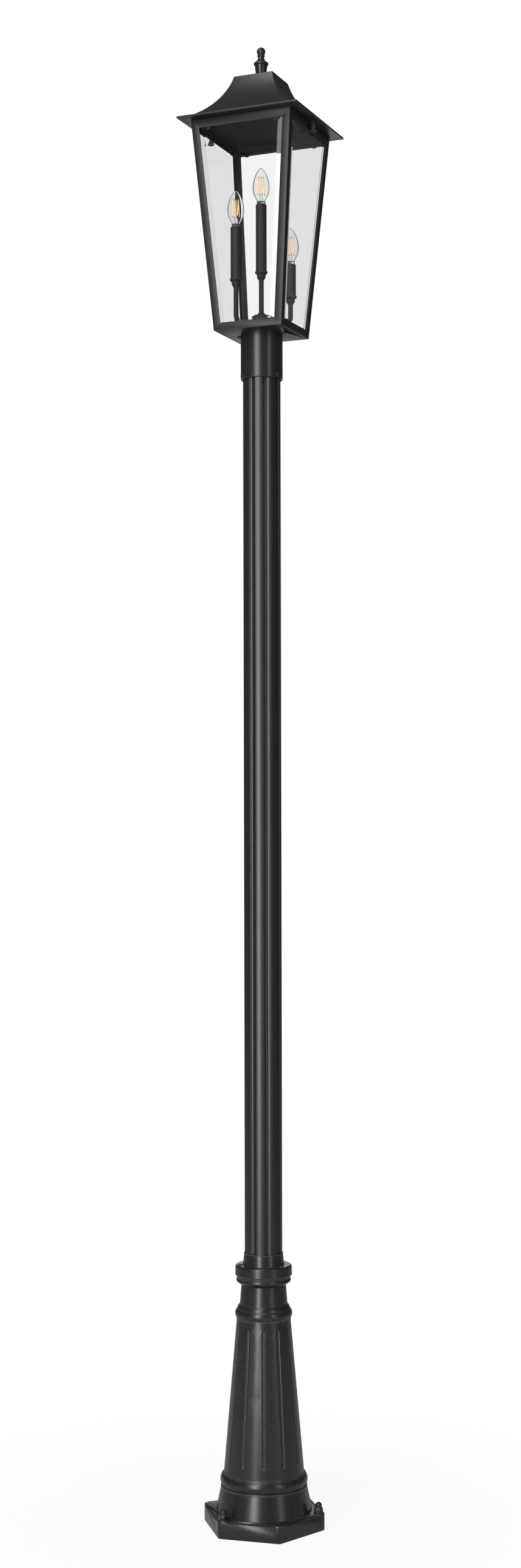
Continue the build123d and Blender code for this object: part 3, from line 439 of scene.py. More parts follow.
def turned(name, outline, steps=72, centre=(0.0, 0.0)):
    """Closed mesh of revolution about Z from an outline of (radius, height) points."""
    bm = bmesh.new()
    rings = []
    for radius, height in outline:
        count = 1 if radius < 1e-6 else steps
        turns = [tau * k / steps for k in range(count)]
        ring = [(centre[0] + radius * cos(t), centre[1] + radius * sin(t), height) for t in turns]
        rings.append([bm.verts.new(point) for point in ring])
    pairs = list(zip(rings, rings[1:]))
    if len(rings[0]) > 1 or len(rings[-1]) > 1:
        pairs.append((rings[-1], rings[0]))
    for low, high in pairs:
        for k in range(steps):
            m = (k + 1) % steps
            corners = [low[k % len(low)], low[m % len(low)], high[m % len(high)], high[k % len(high)]]
            corners = list(dict.fromkeys(corners))
            if len(corners) > 2:
                bm.faces.new(corners)
    return to_mesh(name, bm)


def rounded(points, radius, steps=4):
    """Outline with each of its inner corners rounded; the first and last points stay."""
    result = [points[0]]
    for before, corner, after in zip(points, points[1:], points[2:]):
        a, c, b = Vector(before), Vector(corner), Vector(after)
        reach = min(radius, 0.45 * (a - c).length, 0.45 * (b - c).length)
        start = c + (a - c).normalized() * reach
        end = c + (b - c).normalized() * reach
        for k in range(steps + 1):
            t = k / steps
            point = start * (1 - t) ** 2 + c * 2 * t * (1 - t) + end * t ** 2
            result.append(tuple(point))
    result.append(points[-1])
    return result


def through(mesh, modifiers):
    """The mesh after a list of modifiers: (type, settings)."""
    holder = in_scene("holder", mesh)
    for kind, settings in modifiers:
        modifier = holder.modifiers.new(kind.title(), kind)
        for key, value in settings.items():
            setattr(modifier, key, value)
    return evaluated(holder)


def evaluated(holder):
    """Mesh that an object's modifiers make of it. The object itself is taken out again."""
    view = bpy.context.evaluated_depsgraph_get()
    mesh = bpy.data.meshes.new_from_object(holder.evaluated_get(view))
    bpy.data.objects.remove(holder)
    return mesh


def rounding(width, angle=30.0, segments=3):
    return ("BEVEL", {"width": width, "segments": segments, "limit_method": "ANGLE", "angle_limit": radians(angle),
                      "use_clamp_overlap": False, "miter_outer": "MITER_ARC", "harden_normals": False})


def welded(node):
    """A node's faces with their shared points joined."""
    bm = bmesh.new()
    bm.from_mesh(nodes[node].data)
    bmesh.ops.remove_doubles(bm, verts=bm.verts, dist=WELD)
    return bm


def merged_copy(node):
    """Copy of a node's mesh with its flat faces made whole."""
    bm = welded(node)
    bmesh.ops.dissolve_limit(bm, angle_limit=radians(0.5), verts=bm.verts, edges=bm.edges)
    return written(node, bm)


def softened(name, node, body, material, width, angle=30.0):
    """A node's own shape with its edges rounded."""
    dress(name, through(merged_copy(node), [rounding(width, angle)]), body, material, [node])


def keep(material, *names):
    """Show nodes' own meshes with a finish."""
    for node in names:
        mesh = nodes[node].data
        mesh.materials.clear()
        mesh.materials.append(finish(material))


def middle(node):
    """Centre of a node's box, seen from above."""
    low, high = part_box(node)
    return (low.x + high.x) / 2, (low.y + high.y) / 2


def skin(bm, rings, capped=False):
    """Faces from each ring of points to the next, and over both ends if it is capped."""
    for low, high in zip(rings, rings[1:]):
        for k in range(len(low)):
            m = (k + 1) % len(low)
            bm.faces.new((low[k], low[m], high[m], high[k]))
    if capped:
        bm.faces.new(rings[0])
        bm.faces.new(rings[-1])


def join_meshes(name, meshes):
    bm = bmesh.new()
    for mesh in meshes:
        bm.from_mesh(mesh)
    return written(name, bm)


def smooth_line(points, steps):
    """Curve through (radius, height) points, with a few more points on each run."""
    ends = [points[0], *points, points[-1]]
    result = []
    for a, b, c, d in zip(ends, ends[1:], ends[2:], ends[3:]):
        a, b, c, d = Vector(a), Vector(b), Vector(c), Vector(d)
        for k in range(steps):
            t = k / steps
            result.append(tuple(0.5 * (2 * b + (c - a) * t + (2 * a - 5 * b + 4 * c - d) * t ** 2
                                       + (3 * b - a - 3 * c + d) * t ** 3)))
    return result + [tuple(points[-1])]


def ribbed(mesh, low, high, count, depth, centre):
    """Cut fine grooves along a turned piece between two heights."""
    for vertex in mesh.vertices:
        off = Vector((vertex.co.x - centre[0], vertex.co.y - centre[1]))
        if low < vertex.co.z < high and off.length > 1e-6:
            share = 0.5 - 0.5 * cos(count * Vector((1, 0)).angle_signed(off, 0.0))
            off = off * (1 - depth * share / off.length)
            vertex.co.x = centre[0] + off.x
            vertex.co.y = centre[1] + off.y
    return mesh


def cut_by(mesh, cutter_mesh):
    """The mesh with the cutter's shape taken out."""
    cutter = in_scene("cutter", cutter_mesh)
    result = through(mesh, [("BOOLEAN", {"operation": "DIFFERENCE", "solver": "EXACT", "object": cutter})])
    bpy.data.objects.remove(cutter)
    return result


def bar(low, high):
    """Mesh of a straight bar between two corners."""
    bm = bmesh.new()
    corners = [bm.verts.new((x, y, z)) for z in (low[2], high[2]) for y in (low[1], high[1])
               for x in (low[0], high[0])]
    for a, b, c, d in ((0, 2, 3, 1), (4, 5, 7, 6), (0, 1, 5, 4), (2, 6, 7, 3), (0, 4, 6, 2), (1, 3, 7, 5)):
        bm.faces.new([corners[k] for k in (a, b, c, d)])
    return to_mesh("bar", bm)


def moved(mesh, matrix):
    mesh.transform(matrix)
    return mesh


def pan_screw(seat, length, shank, head, height):
    """Domed screw head with a cross recess, on a seat, and its shank below."""
    rim = height * 0.35
    arm, half, recess_floor = head * 0.58, head * 0.13, seat + height * 0.45
    crown = [(head * cos(t), seat + rim + (height - rim) * sin(t)) for t in (k * pi / 16 for k in range(9))]
    outline = [(0.0, seat - length), (shank * 0.8, seat - length), (shank, seat - length + shank * 0.4), (shank, seat),
               (head * 0.96, seat), (head, seat + rim * 0.2), *crown[:-1], (0.0, seat + height)]
    mesh = turned("pan_screw", outline, 32)
    for turn in (0.0, pi / 2):
        cross = bar((-arm, -half, recess_floor), (arm, half, seat + height * 2))
        mesh = cut_by(mesh, moved(cross, Matrix.Rotation(turn, 4, "Z")))
    return mesh


def rounded_square(half, radius, z, steps=4):
    """Corner points of a square with rounded corners, at a height."""
    points = []
    for corner in range(4):
        turn = pi / 4 + corner * pi / 2
        centre = Vector((cos(turn), sin(turn))) * (half - radius) * sqrt(2)
        for k in range(steps + 1):
            angle = turn - pi / 4 + pi / 2 * k / steps
            points.append((centre.x + radius * cos(angle), centre.y + radius * sin(angle), z))
    return points


# ---- trees that repeat or shape a piece ----

def ring_of_copies_tree():
    """Copies of a piece that stands at the centre, set round a circle and turned to face out."""
    wire, given, out = new_group("Ring Of Copies", "GeometryNodeTree", [
        ("Geometry", "Geometry", None),
        ("Count", "Int", 3),
        ("Radius", "Float", 0.1),
        ("Start", "Float", 0.0),
        ("Tilt", "Float", 0.0),
        ("Centre", "Vector", (0, 0, 0)),
        ("Material", "Material", None),
    ], [("Geometry", "Geometry")])
    wire.tree.is_modifier = True
    share = wire.math("DIVIDE", wire.add("GeometryNodeInputIndex").outputs[0], given["Count"])
    facing = wire.math("MULTIPLY_ADD", share, tau, given["Start"])
    spot = wire.vector(X=wire.product(wire.math("COSINE", facing), given["Radius"]),
                       Y=wire.product(wire.math("SINE", facing), given["Radius"]))
    ring = wire.add("GeometryNodePoints", {"Count": given["Count"], "Position": spot}).outputs[0]
    attitude = wire.vector(Y=given["Tilt"], Z=facing)
    copies = wire.add("GeometryNodeInstanceOnPoints", {"Points": ring, "Instance": given["Geometry"],
                                                       "Rotation": attitude}).outputs[0]
    whole = wire.add("GeometryNodeRealizeInstances", {0: copies}).outputs[0]
    set_down(wire, whole, given["Centre"], given["Material"], out)
    return wire.tree


def set_down(wire, geometry, place, material, out):
    """Last steps of a tree: move the piece to its place and give it its finish."""
    standing = wire.add("GeometryNodeTransform", {"Geometry": geometry, "Translation": place}).outputs[0]
    painted = wire.add("GeometryNodeSetMaterial", {"Geometry": standing, "Material": material}).outputs[0]
    wire.join(painted, out["Geometry"])


def joined(wire, *geometries):
    join = wire.add("GeometryNodeJoinGeometry")
    for geometry in geometries:
        wire.join(geometry, join.inputs[0])
    return join.outputs[0]


def fluted_tube_tree():
    """Round tube with rounded channels along it, worked out from the circle that cuts each channel."""
    wire, given, out = new_group("Fluted Tube", "GeometryNodeTree", [
        ("Geometry", "Geometry", None),
        ("Radius", "Float", 0.0381),
        ("Bore Radius", "Float", 0.0335),
        ("Foot", "Float", 0.0),
        ("Length", "Float", 1.0),
        ("Flutes", "Int", 8),
        ("Flute Width", "Float", 0.012),
        ("Flute Depth", "Float", 0.0025),
        ("Flute Turn", "Float", 0.0),
        ("Lip", "Float", 0.0008),
        ("Steps Per Flute", "Int", 48),
        ("Material", "Material", None),
    ], [("Geometry", "Geometry")])
    wire.tree.is_modifier = True
    math, product = wire.math, wire.product
    steps = product(given["Flutes"], given["Steps Per Flute"])
    circle = wire.add("GeometryNodeCurvePrimitiveCircle", {"Resolution": steps, "Radius": given["Radius"]}).outputs[0]
    step = math("ADD", wire.add("GeometryNodeInputIndex").outputs[0], 0.5)
    share = math("FRACT", math("DIVIDE", step, given["Steps Per Flute"]))
    pitch = math("DIVIDE", tau, given["Flutes"])
    off = product(math("SUBTRACT", share, 0.5), pitch)
    half = product(given["Flute Width"], 0.5)
    half_squared = product(half, half)
    depth_squared = product(given["Flute Depth"], given["Flute Depth"])
    cutter = math("DIVIDE", product(math("ADD", half_squared, depth_squared), 0.5), given["Flute Depth"])
    lips = math("SQRT", math("SUBTRACT", product(given["Radius"], given["Radius"]), half_squared))
    centre = math("ADD", math("SUBTRACT", lips, given["Flute Depth"]), cutter)
    side = product(centre, math("SINE", off))
    chord_squared = math("SUBTRACT", product(cutter, cutter), product(side, side))
    chord = math("SQRT", math("MAXIMUM", chord_squared, 0.0))
    channel = math("SUBTRACT", product(centre, math("COSINE", off)), chord)
    radius = math("SMOOTH_MIN", given["Radius"], channel, given["Lip"])
    first = math("SUBTRACT", given["Flute Turn"], product(pitch, 0.5))
    angle = math("ADD", product(math("DIVIDE", step, steps), tau), first)
    spot = wire.vector(X=product(radius, math("COSINE", angle)), Y=product(radius, math("SINE", angle)))
    outer = wire.add("GeometryNodeSetPosition", {"Geometry": circle, "Position": spot}).outputs[0]
    bore = wire.add("GeometryNodeCurvePrimitiveCircle", {"Resolution": 96, "Radius": given["Bore Radius"]}).outputs[0]
    face = wire.add("GeometryNodeFillCurve", {0: joined(wire, outer, bore)}).outputs[0]
    wall = wire.add("GeometryNodeExtrudeMesh", {"Mesh": face, "Offset": wire.vector(Z=given["Length"]),
                                                "Offset Scale": 1.0, "Individual": False}).outputs[0]
    under = wire.add("GeometryNodeFlipFaces", {0: face}).outputs[0]
    closed = wire.add("GeometryNodeMergeByDistance", {"Geometry": joined(wire, wall, under), "Distance": 1e-6})
    set_down(wire, closed.outputs[0], wire.vector(Z=given["Foot"]), given["Material"], out)
    return wire.tree


def grown(name, tree, source, **values):
    """Mesh that a geometry tree makes from a source mesh, with the tree's inputs set by name."""
    holder = in_scene(name, source or bpy.data.meshes.new(name))
    modifier = holder.modifiers.new(name, "NODES")
    modifier.node_group = tree
    identifiers = {item.name: item.identifier for item in tree.interface.items_tree
                   if item.item_type == "SOCKET" and item.in_out == "INPUT"}
    for key, value in values.items():
        modifier[identifiers[key.replace("_", " ").title()]] = value
    return evaluated(holder)


def ring_of(name, source, material, count, radius, start=0.0, tilt=0.0, centre=(0, 0, 0)):
    """Copies of a source mesh, set round a circle."""
    tree = bpy.data.node_groups.get("Ring Of Copies") or ring_of_copies_tree()
    return grown(name, tree, source, count=count, radius=radius, start=start, tilt=tilt, centre=centre,
                 material=finish(material))


# ---- operators ----

class LanternOperator:
    """Base for the operators that build pieces from the sizes."""
    bl_options = {"REGISTER", "UNDO"}

    def execute(self, context):
        self.build(context.scene.lantern_sizes)
        return {"FINISHED"}


class LANTERN_OT_stage(bpy.types.Operator):
    """Set up the camera, the soft lights, the pale floor and the finishes"""
    bl_idname = "lantern.stage"
    bl_label = "Stage and Finishes"

    def execute(self, context):
        scene = context.scene
        studio = scene.lantern_studio
        scene.view_settings.view_transform = "Standard"
        make_finishes()
        self.camera(scene, studio)
        self.world(scene, studio)
        self.lamps(studio)
        self.floor(studio)
        return {"FINISHED"}

    def camera(self, scene, studio):
        data = bpy.data.cameras.new("photo_camera")
        data.lens = studio.lens
        data.sensor_width = 36.0
        data.shift_x = studio.shift_x
        data.shift_y = studio.shift_y
        data.clip_end = 200.0
        camera = in_scene("photo_camera", data)
        camera.location = (studio.distance * sin(studio.azimuth), -studio.distance * cos(studio.azimuth), studio.height)
        camera.rotation_euler = (pi / 2, studio.roll, studio.azimuth)
        scene.camera = camera

    def world(self, scene, studio):
        """White for the camera, and dimmer for reflections, most of all for those from behind."""
        world = bpy.data.worlds.new("studio_world")
        world.use_nodes = True
        world.node_tree.nodes.clear()
        wire = Wiring(world.node_tree)
        direction = wire.add("ShaderNodeTexCoord").outputs["Generated"]
        depth = wire.add("ShaderNodeSeparateXYZ", {0: direction}).outputs["Y"]
        behind = studio.mirrored * 0.12
        mirrored = wire.spread(depth, -1.0, 0.2, studio.mirrored, behind)
        strength = wire.math("MAXIMUM", seen_white(wire, mirrored), studio.ambient)
        background = wire.add("ShaderNodeBackground", {"Color": (1, 1, 1, 1), "Strength": strength}).outputs[0]
        wire.join(background, wire.add("ShaderNodeOutputWorld").inputs[0])
        scene.world = world

    def lamps(self, studio):
        front, side, fill = studio.key, studio.side, studio.fill
        # name, power, width, height, place, what it faces, and whether it shows through glass
        for name, power, width, height, place, aim, glass in (
                ("low_light", front * 0.31, 0.8, 2.0, (-0.1, -3.65, 1.0), (0, 0, 1.0), False),
                ("middle_light", front * 0.42, 1.4, 2.5, (-0.2, -3.65, 3.2), (0, 0, 2.7), False),
                ("high_light", front * 0.60, 1.8, 1.6, (-0.5, -2.5, 6.0), (0, 0, 2.9), False),
                ("side_light", side, 0.07, 3.6, (-3.7, -1.2, 2.0), (0, 0, 1.6), True),
                ("fill_light", fill * 0.8, 0.35, 3.6, (3.6, -1.7, 2.0), (0, 0, 1.6), True),
                ("back_light", fill * 0.3, 1.2, 3.0, (-1.4, 3.6, 2.2), (0, 0, 1.6), False)):
            data = bpy.data.lights.new(name, "AREA")
            data.shape = "RECTANGLE"
            data.size = width
            data.size_y = height
            data.energy = power
            lamp = in_scene(name, data)
            lamp.location = place
            lamp.rotation_euler = (Vector(aim) - Vector(place)).to_track_quat("-Z", "Y").to_euler()
            lamp.visible_transmission = glass

    def floor(self, studio):
        bm = bmesh.new()
        bmesh.ops.create_grid(bm, x_segments=2, y_segments=2, size=30.0)
        floor = in_scene("studio_floor", to_mesh("studio_floor", bm))
        white = plain_white("studio_white", shade=0.70, near_glow=0.93, reach=1.1, mirrored=studio.mirrored)
        floor.data.materials.append(white)


class LANTERN_OT_foot(LanternOperator, bpy.types.Operator):
    """Cast foot, base column and collar"""
    bl_idname = "lantern.foot"
    bl_label = "Foot and Column"

    def build(self, sizes):
        softened("cast_foot", "foot_plate", "post", "coat_cast", sizes.casting_rounding, 40.0)
        keep("coat_cast", "base_column", "post_collar")


class LANTERN_OT_post(LanternOperator, bpy.types.Operator):
    """Fluted post"""
    bl_idname = "lantern.post"
    bl_label = "Post"

    def build(self, sizes):
        low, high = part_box("post_tube")
        mesh = grown("fluted_post", fluted_tube_tree(), None, radius=(high.x - low.x) / 2, bore_radius=sizes.post_bore,
                     foot=low.z, length=high.z - low.z, flutes=sizes.flute_count, flute_width=sizes.flute_width,
                     flute_depth=sizes.flute_depth, flute_turn=sizes.flute_turn, lip=sizes.flute_lip,
                     material=finish("coat_post"))
        dress("fluted_post", mesh, "post", "coat_post", ["post_tube"])


class LANTERN_OT_fitter(LanternOperator, bpy.types.Operator):
    """Plain sleeve under the lantern"""
    bl_idname = "lantern.fitter"
    bl_label = "Fitter"

    def build(self, sizes):
        keep("coat_smooth", "fitter_sleeve")


class LANTERN_OT_frame(LanternOperator, bpy.types.Operator):
    """Lantern frame, base plate and corner blocks"""
    bl_idname = "lantern.frame"
    bl_label = "Lantern Frame"

    def build(self, sizes):
        shell = through(self.shell(sizes), [rounding(sizes.edge_rounding)])
        dress("lantern_frame", join_meshes("lantern_frame", [shell, self.ears()]), "lantern",
              "coat_sheet", ["corner_posts", "top_rails", "bottom_rails"])
        for name, node, width in (("frame_blocks", "corner_blocks", 0.0004), ("frame_base", "base_plate", 0.0003),
                                  ("light_strap", "candle_strap", 0.0003)):
            softened(name, node, "lantern", "coat_sheet", width)
        softened("pane_clips", "glass_clips", "lantern", "hardware_black", 0.0002)

    def shell(self, sizes):
        """Tapered square tube of sheet with a window in each side, as an outer and an inner skin and their edges."""
        low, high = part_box("corner_posts")
        foot, top = low.z, high.z
        half_foot = self.half_at(foot)
        taper = (high.x - half_foot) / (top - foot)
        window = (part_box("bottom_rails")[1].z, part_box("top_rails")[0].z)

        def half(z):
            return half_foot + (z - foot) * taper

        bm = bmesh.new()
        skins = []
        for inset in (0.0, sizes.frame_wall):
            ends = []
            for z in (foot, top):
                h = half(z) - inset
                ends.append([bm.verts.new(p) for p in ((-h, -h, z), (h, -h, z), (h, h, z), (-h, h, z))])
            windows = []
            for side in range(4):
                turn = Matrix.Rotation(side * pi / 2, 3, "Z")
                windows.append([bm.verts.new(turn @ Vector((x, inset - half(z), z))) for z in window
                                for x in (sizes.leg_width - half(z), half(z) - sizes.leg_width)])
            skins.append((ends, windows))
            for side in range(4):
                a, b, c, d = (end[k % 4] for end in ends for k in (side, side + 1))
                wa, wb, wc, wd = windows[side]
                for quad in ((a, b, wb, wa), (b, d, wd, wb), (d, c, wc, wd), (c, a, wa, wc)):
                    bm.faces.new(quad)
        (outer_ends, outer_windows), (inner_ends, inner_windows) = skins
        for outer, inner in zip(outer_ends, inner_ends):
            skin(bm, [outer, inner])
        for outer, inner in zip(outer_windows, inner_windows):
            for a, b in ((0, 1), (1, 3), (3, 2), (2, 0)):
                bm.faces.new((outer[a], outer[b], inner[b], inner[a]))
        return to_mesh("frame", bm)

    def half_at(self, z):
        """Half width of the frame at a height, from the corner posts' own points."""
        level = 1e-5
        return max(abs(v.co.x) for v in nodes["corner_posts"].data.vertices if abs(v.co.z - z) < level)

    def ears(self):
        """Flat ears for the thumb screws, cut from the rails' own shape."""
        bm = welded("top_rails")
        rail_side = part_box("corner_posts")[1].x - 0.001
        faces_out, leans = 0.99, 0.05
        bm.normal_update()

        def on_rail(face):
            sloped = abs(face.normal.x) > faces_out and abs(face.normal.z) > leans
            return sloped or abs(face.calc_center_median().x) < rail_side

        bmesh.ops.delete(bm, geom=[face for face in bm.faces if on_rail(face)], context="FACES")
        bmesh.ops.holes_fill(bm, edges=bm.edges, sides=0)
        return written("ears", bm)


class LANTERN_OT_panes(LanternOperator, bpy.types.Operator):
    """Four bevelled panes"""
    bl_idname = "lantern.panes"
    bl_label = "Panes"

    def build(self, sizes):
        for side in SIDES:
            mesh = through(merged_copy("glass_" + side), [rounding(sizes.pane_arris, 50.0, 1)])
            dress("pane_" + side, mesh, "lantern", "pane_glass", ["glass_" + side], 2.0)


class LANTERN_OT_roof(LanternOperator, bpy.types.Operator):
    """Roof plate, hollow-curved dome, cap, ceiling and finial"""
    bl_idname = "lantern.roof"
    bl_label = "Roof"

    def build(self, sizes):
        for name, node, finish_name, width, angle in (
                ("roof_sheet", "roof_plate", "coat_sheet", sizes.edge_rounding, 40.0),
                ("roof_top_cap", "roof_cap", "coat_sheet", sizes.edge_rounding, 40.0),
                ("roof_ceiling", "ceiling_plate", "coat_inside_painted_shade", 0.0004, 30.0)):
            softened(name, node, "roof", finish_name, width, angle)
        self.dome(sizes)
        keep("coat_smooth", "finial")
        keep("zinc_plate", "finial_nut", "roof_inserts")

    def dome(self, sizes):
        """Four hollow sides of sheet, each the same arc, with rounded corners between them."""
        low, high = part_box("roof_dome")
        foot, top = low.z, high.z
        rise = top - foot
        inner_rise = rise - sizes.dome_wall
        corner_radius = sizes.edge_rounding * 1.6
        steps = 28
        spread = sizes.dome_foot - sizes.dome_top
        chord = sqrt(rise ** 2 + spread ** 2)
        stand_off = sqrt(sizes.dome_curve ** 2 - (chord / 2) ** 2)
        centre_x = (sizes.dome_foot + sizes.dome_top) / 2 + stand_off * rise / chord
        centre_z = (foot + top) / 2 + stand_off * spread / chord
        bm = bmesh.new()

        def ring(height, inset):
            half = centre_x - sqrt((sizes.dome_curve + inset) ** 2 - (centre_z - height) ** 2)
            return [bm.verts.new(point) for point in rounded_square(half, corner_radius, height)]

        outer = [ring(foot + rise * k / steps, 0.0) for k in range(steps + 1)]
        inner = [ring(foot + inner_rise * k / steps, sizes.dome_wall) for k in range(steps, -1, -1)]
        skin(bm, outer)
        skin(bm, inner)
        bm.faces.new(outer[-1])
        bm.faces.new(inner[0])
        skin(bm, [outer[0], inner[-1]])
        dress("hollow_dome", to_mesh("dome", bm), "roof", "coat_sheet", ["roof_dome"], 40.0)


class LANTERN_OT_candles(LanternOperator, bpy.types.Operator):
    """Hub, arms, cups, sleeves and sockets"""
    bl_idname = "lantern.candles"
    bl_label = "Candle Cluster"

    def build(self, sizes):
        keep("coat_smooth", "hub_body", "hub_cover", "hub_coupling")
        for light in LIGHTS:
            keep("coat_smooth", "arm_" + light, "cup_" + light)
            keep("socket_brown", "socket_" + light)
            self.sleeve(light, sizes)

    def sleeve(self, light, sizes):
        low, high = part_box("sleeve_" + light)
        radius = (high.x - low.x) / 2
        bore = radius - sizes.sleeve_wall
        lip = 0.0004
        outline = [(bore, low.z), (radius, low.z), (radius, high.z - lip), (radius - lip * 0.3, high.z - lip * 0.3),
                   (radius - lip, high.z), (bore, high.z)]
        mesh = turned("sleeve", outline, 64, middle("sleeve_" + light))
        dress("candle_sleeve_" + light, mesh, "lantern", "sleeve_black", ["sleeve_" + light])


class LANTERN_OT_bulbs(LanternOperator, bpy.types.Operator):
    """Candle bulbs: collar, envelope, mount and filaments"""
    bl_idname = "lantern.bulbs"
    bl_label = "Bulbs"

    def build(self, sizes):
        for light in LIGHTS:
            low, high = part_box("bulb_glass_" + light)
            centre = middle("bulb_glass_" + light)
            base = low.z + 0.0035
            self.envelope(light, sizes, centre, low.z, base, high.z, (high.x - low.x) / 2)
            self.collar(light, centre)
            self.mount(light, centre, low.z, base)
            self.filaments(light, sizes, centre)

    def show(self, name, light, mesh, slot, material, node, smooth=35.0):
        """A piece of one bulb, in place of the bulb's node of that kind."""
        replaced = [node + "_" + light] if node else None
        dress(name + "_" + light, mesh, "bulb_" + light, material, replaced, smooth)

    def envelope(self, light, sizes, centre, foot, base, tip, radius):
        """Candle-shaped glass, a thin wall from the collar to the tip."""
        neck = 0.0074
        shares = ((0.62, 0.09), (0.87, 0.215), (0.995, 0.37), (0.96, 0.54), (0.74, 0.74), (0.36, 0.92))
        height = tip - base
        outer = [(neck, base), *((radius * r, base + height * z) for r, z in shares), (0.0, tip)]
        wall = sizes.bulb_wall
        inner = [(max(r - wall, 0.0), z - (wall if r == 0.0 else 0.0)) for r, z in outer]
        outline = [(neck, foot), *smooth_line(outer, 8), *reversed(smooth_line(inner, 8)), (neck - wall, foot)]
        outline = [(max(r, 0.0), z) for r, z in outline]
        mesh = turned("envelope", outline, 64, centre)
        self.show("bulb_envelope", light, mesh, "bulb_glass", "bulb_clear_glass", "bulb_glass", 60.0)

    def collar(self, light, centre):
        """Plated screw shell with its rolled collar and contact."""
        low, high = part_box("bulb_cap_" + light)
        points = nodes["bulb_cap_" + light].data.vertices
        radius = (high.x - low.x) / 2
        rim = [p.co.z for p in points if (p.co.xy - Vector(centre)).length > radius - 0.0001]
        seat, top = min(rim), high.z
        thread = 0.006
        thread_depth, thread_foot, thread_length = 0.0004, seat - 0.0135, 0.0125
        turns = [(thread - thread_depth * (0.5 - 0.5 * cos(tau * k / 6)), thread_foot + thread_length * k / 30)
                 for k in range(31)]
        waist = radius - 0.0004
        bore, bore_depth = 0.0076, 0.0036
        outline = [(0.0, low.z), (0.0024, low.z), (0.0026, low.z + 0.0008), (thread - 0.0012, low.z + 0.0030),
                   *turns, (thread, seat), (radius - 0.0006, seat), (radius, seat + 0.0006),
                   (radius, seat + 0.0022), (waist, seat + 0.0026), (waist, top - 0.0022),
                   (radius, top - 0.0018), (radius, top - 0.0007), (radius - 0.0006, top), (bore, top),
                   (bore, top - bore_depth), (0.0, top - bore_depth)]
        ribs, rib_depth = 24, 0.0005
        mesh = ribbed(turned("collar", outline, 64, centre), seat + 0.0024, top - 0.0020, ribs, rib_depth, centre)
        self.show("bulb_collar", light, mesh, "nickel_cap", "nickel_plate", "bulb_cap", 30.0)

    def mount(self, light, centre, foot, base):
        """Glass stem, pressed towards its top, and the rod above it."""
        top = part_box("bulb_mount_" + light)[1].z
        stem = smooth_line([(0.0052, base - 0.0022), (0.0042, base + 0.0015), (0.0038, base + 0.006),
                            (0.0034, base + 0.010), (0.0024, base + 0.013), (0.0013, base + 0.0148)], 5)
        outline = [(0.0, foot), (0.0055, foot), (0.0055, base - 0.0028), *stem, (0.0012, base + 0.016),
                   (0.0012, top - 0.0003), (0.0009, top), (0.0, top)]
        mesh = turned("stem", outline, 40, centre)
        self.show("bulb_stem", light, mesh, "bulb_mount_glass", "bulb_clear_glass", "bulb_mount", 50.0)

    def filaments(self, light, sizes, centre):
        """Amber strips that lean and turn round the rod, with the wires and beads that carry them."""
        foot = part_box("bulb_filaments_" + light)[0].z
        reach_in = Vector((-sizes.filament_foot, 0.0, 0.0))
        across = sizes.filament_top * Vector((cos(sizes.filament_twist), sin(sizes.filament_twist), 0.0))
        run = across + reach_in
        run.z = sqrt(sizes.filament_length ** 2 - run.length ** 2)
        lie = run.to_track_quat("Z", "X").to_matrix().to_4x4()
        half = sizes.filament_width / 2
        thick = sizes.filament_width * 0.4
        end = 0.0010
        strip = bar((-thick, -half, end), (thick, half, sizes.filament_length - end))
        strip = moved(through(strip, [rounding(thick * 0.8)]), lie)
        ring = dict(count=sizes.filament_count, radius=sizes.filament_foot, start=radians(45.0), centre=(*centre, foot))
        mesh = ring_of("strips", strip, "amber_coat", **ring)
        self.show("bulb_strips", light, mesh, "amber_filament", "amber_coat", "bulb_filaments")
        tab, tab_width, tab_length = 0.00015, half * 0.7, 0.0016
        tabs = [moved(bar((-tab, -tab_width, z), (tab, tab_width, z + tab_length)), lie)
                for z in (-0.0002, sizes.filament_length - 0.0014)]
        bead = [(0.0, -0.0008), (0.0006, -0.0006), (0.0008, 0.0), (0.0006, 0.0006), (0.0, 0.0008)]
        wires = [moved(turned("bead", bead, 10), Matrix.Translation(place)) for place in ((0, 0, -0.0005), run)]
        for place, reach in ((Vector((0, 0, -0.0006)), sizes.filament_foot), (run, sizes.filament_top)):
            wire = turned("wire", [(0.0, 0.0), (0.00028, 0.0), (0.00028, reach), (0.0, reach)], 8)
            inward = Vector((reach_in.x, 0.0, place.z)) - place
            turn = inward.to_track_quat("Z", "X").to_matrix().to_4x4()
            wires.append(moved(wire, Matrix.Translation(place) @ turn))
        mesh = ring_of("wires", join_meshes("wires", tabs + wires), "lead_wire", **ring)
        mesh = join_meshes("wires", [mesh, self.leads(centre, foot)])
        self.show("bulb_wires", light, mesh, "zinc_steel", "lead_wire", None)

    def leads(self, centre, height):
        """Two lead wires that come up through the stem."""
        thick, sides, lean = 0.00025, 6, 0.4
        line = smooth_line([(0.0016, height - 0.0155), (0.0018, height - 0.008), (0.0011, height - 0.003),
                            (0.0022, height - 0.0006)], 4)
        round_wire = [(thick * cos(tau * k / sides), thick * sin(tau * k / sides)) for k in range(sides)]
        wires = []
        for side in (-1, 1):
            bm = bmesh.new()
            rings = [[bm.verts.new((centre[0] + side * x + dx, centre[1] + side * x * lean + dy, z))
                      for dx, dy in round_wire] for x, z in line]
            skin(bm, rings, capped=True)
            wires.append(to_mesh("lead", bm))
        return join_meshes("leads", wires)


